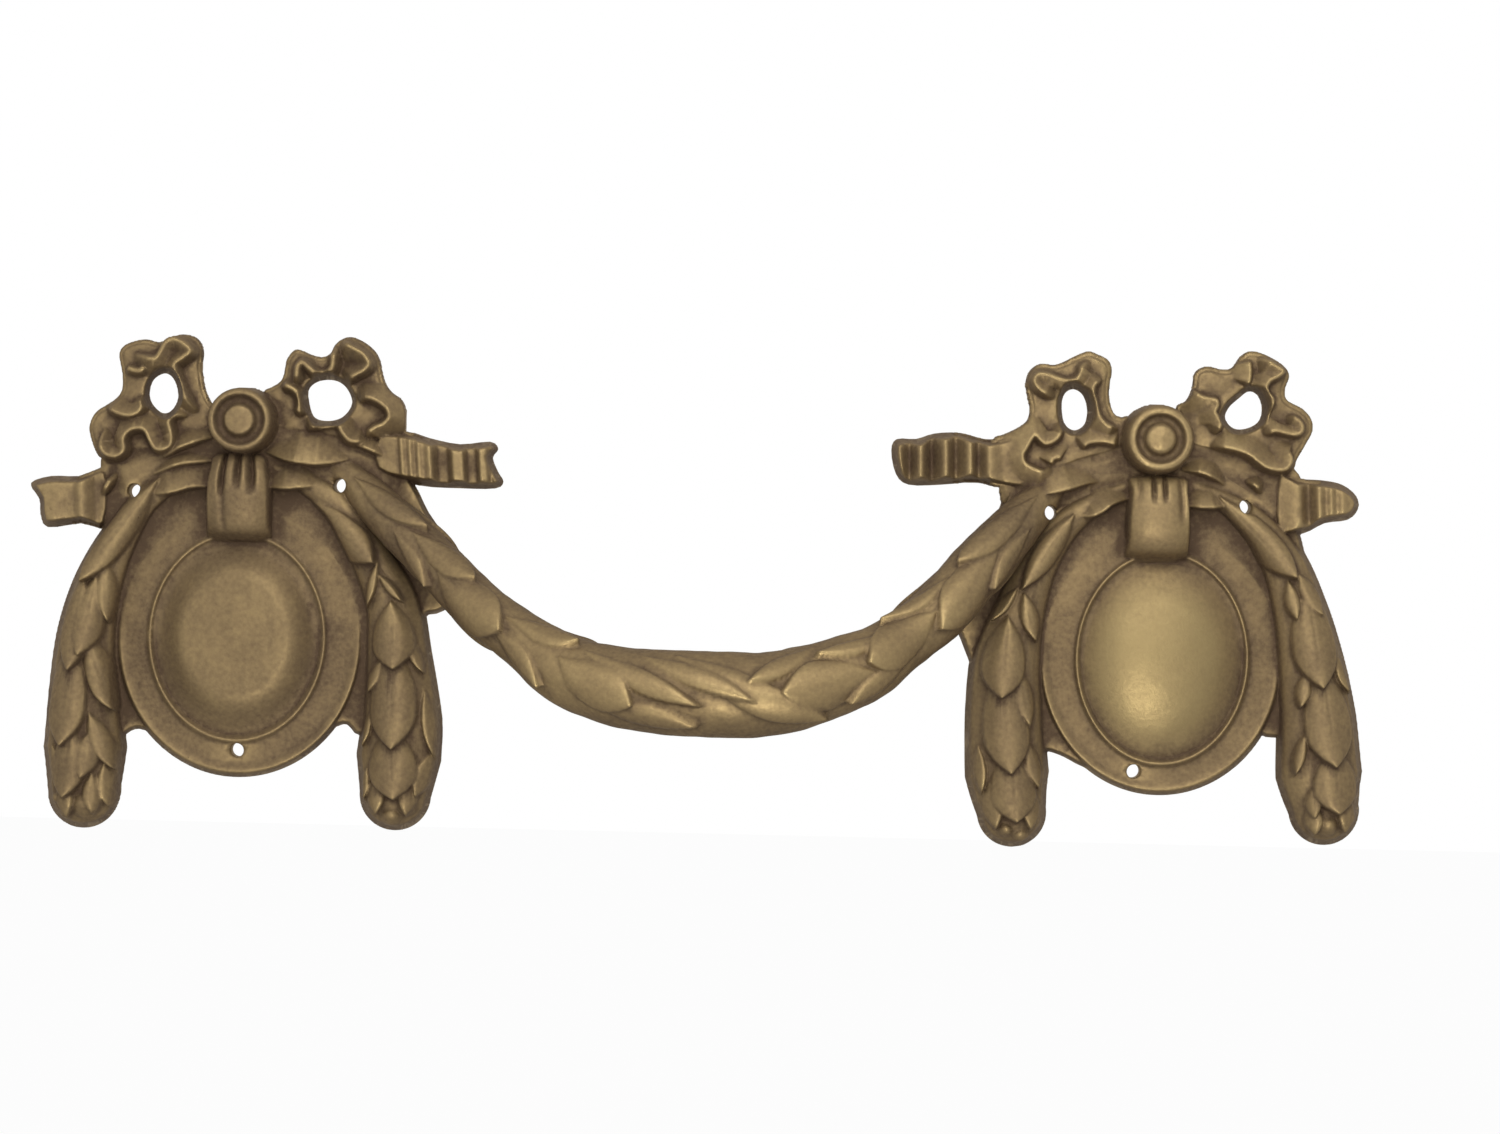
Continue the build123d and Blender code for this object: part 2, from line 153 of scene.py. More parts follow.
# Laurel leaf from base to tip on the ground below it: a pointed oval that lifts towards its tip, with a
# rounded crown and a fine crease along its middle
def leafHeight(x, y, ground, base, tip, width, lift, keel, widest, tipRound):
    (bx, by), (tx, ty) = base, tip
    length = math.hypot(tx - bx, ty - by)
    ux, uy = (tx - bx) / length, (ty - by) / length
    t = ((x - bx) * ux + (y - by) * uy) / length
    inner = np.clip(t, 0, 1)
    side = (y - by) * ux - (x - bx) * uy
    early = 1 - np.clip(1 - inner / widest, 0, 1) ** 2.2
    late = 1 - np.clip((inner - widest) / (1 - widest), 0, 1) ** tipRound
    half = 0.5 * width * np.minimum(early, late)
    past = np.maximum(t - 1, 0) + np.maximum(-t, 0)
    depth = np.where(past > 0, -np.hypot(side, past * length), half - np.abs(side))
    across = np.clip(np.abs(side) / np.maximum(half, 0.05), 0, 1)
    crease = 0.14 * np.exp(-(side / 0.2) ** 2) * np.clip(4 * inner * (0.8 - inner), 0, 1)
    crown = 1 - across ** 2.4 - crease
    top = ground + lift[0] + (lift[1] - lift[0]) * inner ** 1.1 + keel * crown
    return softMin(top, ground - 0.1 + 6.0 * (depth + 0.12), 0.25)


garlandForm = dict(
    height=7.3,  # of a core 12 mm wide, less for a thinner one
    wall=1.6,  # upright side below the half-round
    bigLeaf=dict(lift=(-0.2, 1.8), keel=0.8, widest=0.64, tipRound=2.1),  # more than 4 mm wide
    smallLeaf=dict(lift=(0.0, 1.4), keel=0.5, widest=0.55, tipRound=1.7),
    bud=dict(radius=1.4, height=1.2),
)


# Hanging garland: a half-round core along its line, leaves with their tips over the base of the next, and
# buds as low paraboloids. A leaf is x and y of its base and of its tip, and its width.
def hangGarland(sheet, garland):
    stations = np.array(garland["stations"])
    line = smoothLine(stations[:, :2])
    spot = window(sheet, line, 8)
    distance, share = alongLine(sheet["x"][spot], sheet["y"][spot], line)[:2]
    steps = np.hypot(*np.diff(stations[:, :2], axis=0).T)
    places = np.concatenate([[0], np.cumsum(steps)]) / steps.sum()
    half = np.interp(share, places, stations[:, 2]) / 2
    top = garlandForm["height"] * np.sqrt(half / 6)
    wall = garlandForm["wall"]
    arch = np.sqrt(np.clip(1 - (distance / half) ** 2, 0, 1))
    core = np.where(distance < half, wall + (top - wall) * arch, wall)
    core = softMin(core, relief["draft"] * (half - distance), 0.5)
    weldIn(sheet, spot, core)
    ground = np.full(sheet["h"].shape, relief["floor"])
    ground[spot] = core
    for *ends, width in garland["leaves"]:
        base, tip = ends[:2], ends[2:]
        spot = window(sheet, [base, tip], 0.6 * width + 1)
        form = garlandForm["bigLeaf" if width > 4 else "smallLeaf"]
        leaf = leafHeight(sheet["x"][spot], sheet["y"][spot], ground[spot], base, tip, width, **form)
        weldIn(sheet, spot, leaf, 0.16)
    for bx, by, size in garland["buds"]:
        radius = garlandForm["bud"]["radius"] * size
        spot = window(sheet, [(bx, by)], radius + 1)
        near = np.hypot(sheet["x"][spot] - bx, sheet["y"][spot] - by) / radius
        bump = ground[spot] + garlandForm["bud"]["height"] * (1 - near ** 2) - 0.1
        weldIn(sheet, spot, np.where(near < 1.3, bump, relief["floor"]), 0.2)


# Oval medallion by rho, its own radius with 1 at the bead: rounded lip, flat field, thin bead, and a dome
# that flattens on top
def medallion(sheet, oval):
    (cx, cy), (bx, by) = oval["centre"], oval["beadCentre"]
    outer, bead = oval["outer"], oval["bead"]
    spot = window(sheet, [(cx - outer[0], cy - outer[1]), (cx + outer[0], cy + outer[1])], 1.5)
    x, y = sheet["x"][spot], sheet["y"][spot]
    turn = np.arctan2((y - cy) / outer[1], (x - cx) / outer[0])
    reach = np.hypot(outer[0] * np.cos(turn), outer[1] * np.sin(turn))
    edge = reach - np.hypot(x - cx, y - cy)
    lower = 0.5 - 0.5 * np.sin(np.pi * np.clip((y - cy) / oval["lipFade"], -0.5, 0.5))
    field = oval["field"] + 0.45 * lower * np.exp(-((edge - 0.9) / 0.75) ** 2)
    rho = np.hypot((x - bx) / bead[0], (y - by) / bead[1])
    beadOff = (rho - 1) * (bead[0] + bead[1]) / 2
    field = field + oval["beadRise"] * np.exp(-(beadOff / 0.42) ** 2)
    fall = np.clip((rho - oval["plateau"]) / (0.96 - oval["plateau"]), 0, 1)
    flat, cap = np.cos(0.5 * np.pi * fall) ** 2, 1 - np.clip(rho / 0.96, 0, 1) ** 2.2
    dome = oval["dome"] * (flat + (cap - flat) * oval["cap"]) - 0.2 * (rho < 0.97)
    level = field + np.where(rho < 0.95, dome, 0) + 0.02 * unevenness(x, y, 2.3, oval["seed"])
    weldIn(sheet, spot, softMin(level, relief["draft"] * edge, 0.9), 0.3)


# Turned rosette: heights read off its profile by radius
def rosette(sheet, form):
    cx, cy = form["centre"]
    spot = window(sheet, [(cx, cy)], 7)
    r = np.hypot(sheet["x"][spot] - cx, sheet["y"][spot] - cy)
    radii, heights = zip(*form["profile"])
    level = np.interp(r, radii, heights)
    weldIn(sheet, spot, np.where(r < radii[-1], level, relief["floor"]), 0.2)


# Fluted strap: its height bulges down its length and falls off at both sides. A flute is its place across,
# width, depth, lean, and the share of the length where it ends.
def strap(sheet, form):
    outline = smoothLine(form["outline"], closed=True, steps=3)
    spot = window(sheet, outline, 1.5)
    x, y = sheet["x"][spot], sheet["y"][spot]
    t = np.clip((form["top"] - y) / (form["top"] - form["foot"]), 0, 1)
    half = np.interp(t, (0, 0.25, 0.6, 1), form["halfWidths"])
    across = (x - form["middle"]) / half
    bulge = np.interp(t, *smoothLine(list(zip((0, 0.12, 0.35, 0.65, 0.88, 1), form["bulge"]))).T)
    side = bulge - 1.9 * np.clip(np.abs(across), 0, 1.2) ** 2.4
    flutes = sum(deep * np.exp(-((across - at - lean * t) / wide) ** 2) * np.clip((until - t) * 5, 0, 1)
                 for at, wide, deep, lean, until in form["flutes"])
    weldIn(sheet, spot, softMin(side - flutes, 9.0 * insideDepth(x, y, outline), 0.7), 0.25)


# Waved ribbon tail: heights read along x between troughs and crests, inside its outline
def ribbonTail(sheet, tail):
    places, heights = zip(*tail["waves"])
    heights = np.array(heights)

    def waved(x, y, depth):
        at = np.interp(x + tail["lean"] * (y - tail["outline"][0][1]), places, np.arange(len(places)))
        low = np.clip(at.astype(int), 0, len(places) - 2)
        ease = 0.5 - 0.5 * np.cos(np.pi * (at - low))
        wave = (heights[low] + (heights[low + 1] - heights[low]) * ease - 3) / 3
        return 3 + 3 * np.clip(wave, 0.01, 1) ** 0.75 + 0.05 * unevenness(x, y, 1.3)

    raiseOutline(sheet, smoothLine(tail["outline"], closed=True, steps=3), waved, 0.7, 0.3)


# Ruffled bow loop: a low band inside its outline, with ridges where the ribbon's edge stands up. A ridge is
# its crest, its widths on the left and on the right, and its line.
def bowLoop(sheet, loop):
    def band(x, y, depth):
        return loop["base"] + 0.25 * np.clip(depth / 2, 0, 1) + 0.12 * unevenness(x, y, 1.6, 1)

    raiseOutline(sheet, smoothLine(loop["outline"], closed=True, steps=4), band, 1.0, 0.3)
    for crest, left, right, points in loop["ridges"]:
        ledge(sheet, points, crest - 0.3, loop["base"] - 0.3, left, right)


# The open eye of a loop: the heights inside it fall by the draft
def cutEye(sheet, points):
    outline = smoothLine(points, closed=True, steps=6)
    spot = window(sheet, outline, 3)
    depth = insideDepth(sheet["x"][spot], sheet["y"][spot], outline)
    sheet["h"][spot] = softMin(sheet["h"][spot], -relief["draft"] * depth, 0.9)


webForm = dict(
    at=(-42, -30),  # y where the web is thinnest, and where it is full
    heights=(2.3, 2.9),
    mound=3.6,  # top of the mound behind the knot
    moundSlope=4,  # width of its slope
)


def plateSheet(plate):
    low = webForm["heights"][0]

    def webTop(x, y, depth):
        return np.interp(y, webForm["at"], webForm["heights"]) + 0.07 * unevenness(x, y, 4.5, 2)

    def moundTop(x, y, depth):
        rise = 0.5 - 0.5 * np.cos(np.pi * np.clip(depth / webForm["moundSlope"], 0, 1))
        return low + (webForm["mound"] - low) * rise

    sheet = newSheet((-45, -66), (43, 17))
    raiseOutline(sheet, smoothLine(plate["web"], closed=True, steps=3), webTop, 0.9)
    raiseOutline(sheet, smoothLine(plate["mound"], closed=True), moundTop, 0.8)
    medallion(sheet, plate["oval"])
    for garland in plate["garlands"]:
        hangGarland(sheet, garland)
    for tail in plate["tails"]:
        ribbonTail(sheet, tail)
    for loop in plate["loops"]:
        bowLoop(sheet, loop)
    for crest, left, right, points in plate["folds"]:
        ledge(sheet, points, crest, 1.8, left, right, taper=0.4, soft=0.15)
    strap(sheet, plate["strap"])
    rosette(sheet, plate["rosette"])
    for loop in plate["loops"]:
        cutEye(sheet, loop["eye"])
    sheet["h"] = np.maximum(sheet["h"], relief["floor"])
    return sheet


# Closed block from a sheet: the heights in front, a flat back, walls between
def blockFromSheet(name, sheet, knot):
    rows, cols = sheet["h"].shape
    x, y, h = sheet["x"] + knot[0], sheet["y"] + knot[1], sheet["h"]
    spread = 1 + relief["spread"][0] * np.clip(1 - h / relief["spread"][1], 0, 1)
    midX, midZ = relief["middle"]
    front = np.stack([midX + (x - midX) * spread, -h, midZ + (y - midZ) * spread], -1).reshape(-1, 3)
    back = front.copy()
    back[:, 1] = 2 - relief["floor"]
    count = rows * cols
    index = np.arange(count).reshape(rows, cols)
    quads = np.stack([index[:-1, :-1], index[:-1, 1:], index[1:, 1:], index[1:, :-1]], -1).reshape(-1, 4)
    rim = np.concatenate([index[0, :], index[1:, -1], index[-1, -2::-1], index[-2:0:-1, 0]])
    after = np.roll(rim, -1)
    walls = np.stack([rim, rim + count, after + count, after], -1)
    return meshPiece(name, np.concatenate([front, back]) * mm, quads, quads[:, ::-1] + count, walls)


# Mesh object from points and arrays of faces, where each array has its own number of corners
def meshPiece(name, points, *faceSets):
    corners = np.concatenate([faces.ravel() for faces in faceSets])
    counts = np.concatenate([np.full(len(faces), faces.shape[1]) for faces in faceSets])
    mesh = bpy.data.meshes.new(name)
    mesh.vertices.add(len(points))
    mesh.vertices.foreach_set("co", points.astype(np.float32).ravel())
    mesh.loops.add(len(corners))
    mesh.loops.foreach_set("vertex_index", corners.astype(np.int32))
    mesh.polygons.add(len(counts))
    mesh.polygons.foreach_set("loop_start", (np.cumsum(counts) - counts).astype(np.int32))
    mesh.update(calc_edges=True)
    return addObject(name, mesh)


def addObject(name, data):
    added = bpy.data.objects.new(name, data)
    bpy.context.scene.collection.objects.link(added)
    return added


leftPlate = dict(
    knot=(-69.8, 51),
    web=[(0, 3), (6, 1), (12, -1.2), (20, -2.5), (24.8, -6.4), (27.4, -9.8), (29.4, -13.6), (32.6, -18.4),
        (33.4, -24), (32.8, -28), (31, -29.2), (29.1, -30.2), (27, -38), (24, -46), (19.6, -48.2),
        (17.6, -46.6), (15.4, -47.2), (8, -50), (-8, -50), (-12.9, -48.4), (-15, -48.1), (-16.8, -49.4),
        (-18.4, -52), (-22, -50), (-24, -36), (-22.4, -24), (-20.8, -18.4), (-21.4, -12), (-20.4, -7),
        (-16, -5), (-7, -1)],
    oval=dict(centre=(0.8, -34), outer=(19.2, 21.1), beadCentre=(0.4, -33.5), bead=(13.4, 15.9), field=2.8,
        lipFade=16, beadRise=0.65, dome=3.1, plateau=0.56, cap=0.2, seed=0.3),
    mound=[(-20, -5), (-10, -1), (0, 2), (12, 0), (23, -3), (26, -10), (21, -16), (12, -11), (6, -9),
        (-6, -9), (-13, -12), (-18, -14), (-21, -9)],
    garlands=[dict(
        stations=[(-1.5, -6.4, 1.6), (-12.8, -11.6, 5.2), (-17.6, -18.3, 6.4), (-20.8, -25.5, 8.2),
            (-22.5, -33, 9.6), (-22.9, -41, 10.9), (-22.6, -51, 12.9), (-22.65, -57.9, 11.1)],
        leaves=[(-12, -9.2, -23.5, -25.8, 4.8), (-19.8, -21.5, -18.9, -31.9, 2.9),
            (-23, -23.6, -24.4, -39.5, 4.6), (-20.8, -24.2, -22.9, -37, 5.2),
            (-22.5, -32.6, -17.4, -45.4, 4.2), (-24.3, -34.6, -25.2, -50.8, 6.3),
            (-21.3, -45.4, -17.4, -54.3, 3.1), (-23.7, -47, -24.7, -58.7, 5.2), (-21.2, -48.6, -22, -55.6, 4),
            (-27.1, -50.2, -25.7, -57.8, 1.8), (-18.9, -53, -17.9, -60.5, 2.8),
            (-20.6, -54.5, -20.4, -61.2, 2.8), (-25.3, -55.5, -24.3, -61.8, 2.8)],
        buds=[(-21.6, -59.9, 1.6), (-25, -61.1, 0.9), (-26.4, -58.7, 0.7)],
    ), dict(
        stations=[(2.5, -6, 1.6), (13.8, -11.6, 5.6), (18.8, -17.6, 6.8), (21.7, -22.5, 8), (24.2, -28, 9.4),
            (25.15, -35.6, 10.6), (26, -45.6, 12.6), (25.7, -51.5, 13.1), (25.3, -57.2, 11)],
        leaves=[(9.4, -12, 21.9, -21.7, 5.8), (22.2, -21.1, 20.5, -28.7, 1.5),
            (22.2, -23.3, 26.3, -27.6, 1.4), (24.3, -27.2, 25.2, -37.9, 6.5), (26.8, -32.7, 29.6, -38.4, 1.8),
            (23.2, -36.1, 21, -41.6, 1.7), (24.8, -33.7, 25.3, -50.1, 7.2), (21.5, -44.4, 20.3, -49.9, 1.4),
            (29.7, -40.8, 31.6, -51.7, 2.2), (24.8, -46.3, 25.7, -57.7, 7.4), (31.2, -50.3, 28.7, -57.4, 2.8),
            (21.1, -53, 20.6, -58.2, 1.4), (22.6, -54, 22.8, -60.2, 2.8), (28, -54, 27.4, -60.3, 2.8)],
        buds=[(22.3, -58.7, 0.9), (25.1, -60.7, 1.2), (27.5, -58.8, 1.1)],
    )],
    tails=[dict(
        outline=[(-20, -8.2), (-24.6, -9.3), (-28.9, -9.4), (-32, -10.6), (-30.6, -13), (-30.4, -15.2),
            (-29.2, -17.3), (-24.1, -16.6), (-20, -16.8)],
        waves=[(-33, 4.6), (-28.6, 4.9), (-25.4, 4.5), (-24.2, 5), (-21.8, 3.4), (-19, 3.6)], lean=0.06,
    ), dict(
        outline=[(21, -1.8), (26, -1.3), (29.4, -2.2), (34, -3), (38.6, -2.5), (39.9, -3.6), (39.1, -5),
            (40, -7.2), (40.8, -8.6), (39.6, -9.7), (34, -9.8), (27.7, -9.5), (21, -7.5)],
        waves=[(21, 4.2), (24.3, 4.5), (25, 5.2), (25.7, 4.9), (26.3, 5.4), (27, 5), (27.6, 5.5), (28.3, 5.2),
            (29.3, 5.8), (30.6, 3.7), (31.7, 3.7), (33, 5.5), (34.2, 5.4), (35.1, 3.8), (36.1, 3.8),
            (37.1, 5.2), (37.8, 5), (38.5, 4), (39.6, 4.9), (41, 4.9)],
        lean=0.08,
    )],
    loops=[dict(
        base=3.3,
        outline=[(-4.6, 2.8), (-5.4, 4.7), (-5.9, 7.6), (-5.8, 10.5), (-6.8, 12.3), (-9.1, 12.9),
            (-11.3, 12.2), (-12.8, 11.6), (-14.9, 12), (-17.7, 11.2), (-18.8, 9.7), (-18.3, 6.8),
            (-18.2, 4.5), (-18.9, 3), (-20.5, 1.8), (-22.2, 0.6), (-23.1, -1.3), (-22.9, -3.3), (-21.6, -6.2),
            (-19.4, -6.8), (-17.3, -5.6), (-12.4, -5.4), (-7, -3.4), (-3, 0)],
        eye=[(-14, 3.6), (-13.4, 5.8), (-11.6, 6.8), (-10.2, 5.7), (-9.6, 3.2), (-10.5, 1.2), (-11.9, 0.7),
            (-13.4, 1.9)],
        ridges=[
            (6.4, 0.9, 1.3, [(-16.6, 9.6), (-15.2, 9.2), (-13.5, 8.8), (-12.4, 9.2), (-11.2, 11.3),
                (-10.2, 11.9), (-8.6, 11.3), (-7.5, 10.2), (-8.6, 9.2), (-9.9, 8), (-9.4, 5.6), (-7.9, 2.8),
                (-6.3, 0.8)]),
            (5.4, 0.8, 0.9, [(-17.5, 7.6), (-16.5, 7.2), (-15.3, 7.1), (-14.4, 7.9)]),
            (6, 1.2, 0.8, [(-20.2, 1.6), (-18.8, 0.7), (-17, 0.2), (-15.4, 0.7), (-14.7, 2), (-15.1, 3.4)]),
            (6.5, 1.3, 0.7, [(-20.4, -1.6), (-20.8, -3.4), (-20.7, -4.9), (-19.9, -5.9), (-18.4, -6.1),
                (-17.3, -5.2), (-17.4, -3.4), (-16.6, -2.2), (-15.2, -1.7), (-14, -2.1), (-13.2, -3.6),
                (-12.4, -4.8), (-11.2, -4.9), (-10.1, -4.1), (-10.1, -2.4), (-10.5, -0.8), (-9.8, 0.3),
                (-7.6, 0.4)])],
    ), dict(
        base=3.3,
        outline=[(3.5, 4), (4.8, 5.1), (6, 5.9), (6.6, 7.1), (7, 9.4), (8.2, 10.9), (9.4, 10.8), (10.9, 10.2),
            (12.5, 9.9), (13.7, 10.5), (14.3, 11.7), (15.4, 12.7), (16.9, 13.1), (18.8, 12.4), (20.5, 11.1),
            (21.4, 9.6), (21.8, 7.8), (22.4, 6), (23.4, 4.7), (24.9, 3.6), (25.6, 2), (25.6, -0.3),
            (25, -3.4), (20, -4), (13, -2.6), (8, -2), (4, -1)],
        eye=[(10.6, 3), (10.6, 5), (12.2, 6.2), (14.6, 6.3), (16.3, 5.2), (17.2, 3), (16, 0.9), (13.8, 0.1),
            (11.5, 0.6)],
        ridges=[
            (6.3, 0.8, 1, [(8.4, 5.2), (8.9, 6.9), (9, 8.1), (9.7, 8.9), (10.9, 8), (12, 7.2), (13.3, 7.2),
                (14.3, 8.2), (14.5, 10), (14.8, 11.6)]),
            (6.4, 0.8, 1.2, [(15.4, 12.2), (17, 11.4), (18.9, 10.4), (19.9, 9), (19.2, 7.9), (17.6, 7),
                (16.6, 5.8)]),
            (6.4, 1.2, 0.8, [(18.4, 3), (19.6, 3.8), (21.2, 3.4), (22.9, 2.2), (23.3, 0.8), (22.4, -0.3),
                (21.1, -0.9), (20.2, -1.7), (20, -2.8)]),
            (6.2, 1.1, 0.8, [(10.4, -1.4), (12.1, -0.6), (14, -0.3), (15.4, -0.4), (16.1, -1.6), (17.2, -2.8),
                (18.6, -3), (20, -2.8)]),
            (6, 0.9, 0.9, [(6.4, 5.4), (8, 5), (9.2, 4), (9.6, 2.4), (9, 0.6)])],
    )],
    # edges of the leaves at the knot, the slow slope above them: crest, left and right width, line
    folds=[
        (5.9, 0.4, 3, [(-1.5, -10.2), (-4.8, -10.4), (-7.1, -10.6), (-9.4, -11.3), (-11.7, -11.7),
            (-14, -11.4), (-16.3, -10.9)]),
        (5.7, 0.6, 1.6, [(-2, -2.4), (-4.5, -2.9), (-6.5, -3.6), (-8.8, -4.5), (-11, -5.7), (-13.6, -6.5)]),
        (5.1, 0.7, 1.3, [(-2.4, -6.2), (-5.6, -6.6), (-8.7, -7), (-11.7, -8.1), (-14.5, -9.4)]),
        (5.8, 2.4, 0.4, [(2, -10.2), (5.5, -10.3), (7.5, -10.4), (9.8, -10.2), (12.1, -9.9), (14.7, -8.7)]),
        (6.1, 3.2, 0.4, [(2.4, -4.4), (4.7, -5), (7.4, -6), (10.5, -6.5), (13.5, -6.5), (16.6, -5.8),
            (18.5, -4.7)]),
        (5.7, 1.4, 0.6, [(16.1, -2.9), (18.8, -3.6), (21.6, -4.7), (24.1, -6.1)]),
        (5.2, 0.8, 0.9, [(-18.2, -8.3), (-19.4, -9.9), (-20.3, -11.4), (-21.1, -13)])],
    strap=dict(
        top=-5, foot=-18.6, middle=0.4, halfWidths=(4, 4.8, 5.2, 5),
        outline=[(-3.4, -5), (3.8, -5), (5.1, -7.4), (5.7, -10.4), (5.7, -16.4), (5.3, -18.8), (0.6, -19.1),
            (-4.3, -18.8), (-4.9, -16), (-5, -11), (-4.6, -8)],
        bulge=(5.6, 7.1, 8.1, 7.9, 6.7, 4.2),
        flutes=[(-0.48, 0.09, 1.3, 0.02, 0.55), (0.03, 0.1, 1.5, 0, 0.45), (0.45, 0.11, 1.7, 0.05, 0.5),
            (-0.44, 0.1, 0.35, 0.04, 1)],
    ),
    rosette=dict(
        centre=(0.85, -0.3),
        profile=[(0, 9.1), (2, 8.9), (2.3, 8.6), (2.5, 7.9), (2.9, 7.6), (3.5, 7.8), (3.8, 8.6), (4.1, 8.9),
            (4.55, 8.7), (4.85, 8.2), (5, 7), (5.1, 5), (5.35, 2)],
    ),
)

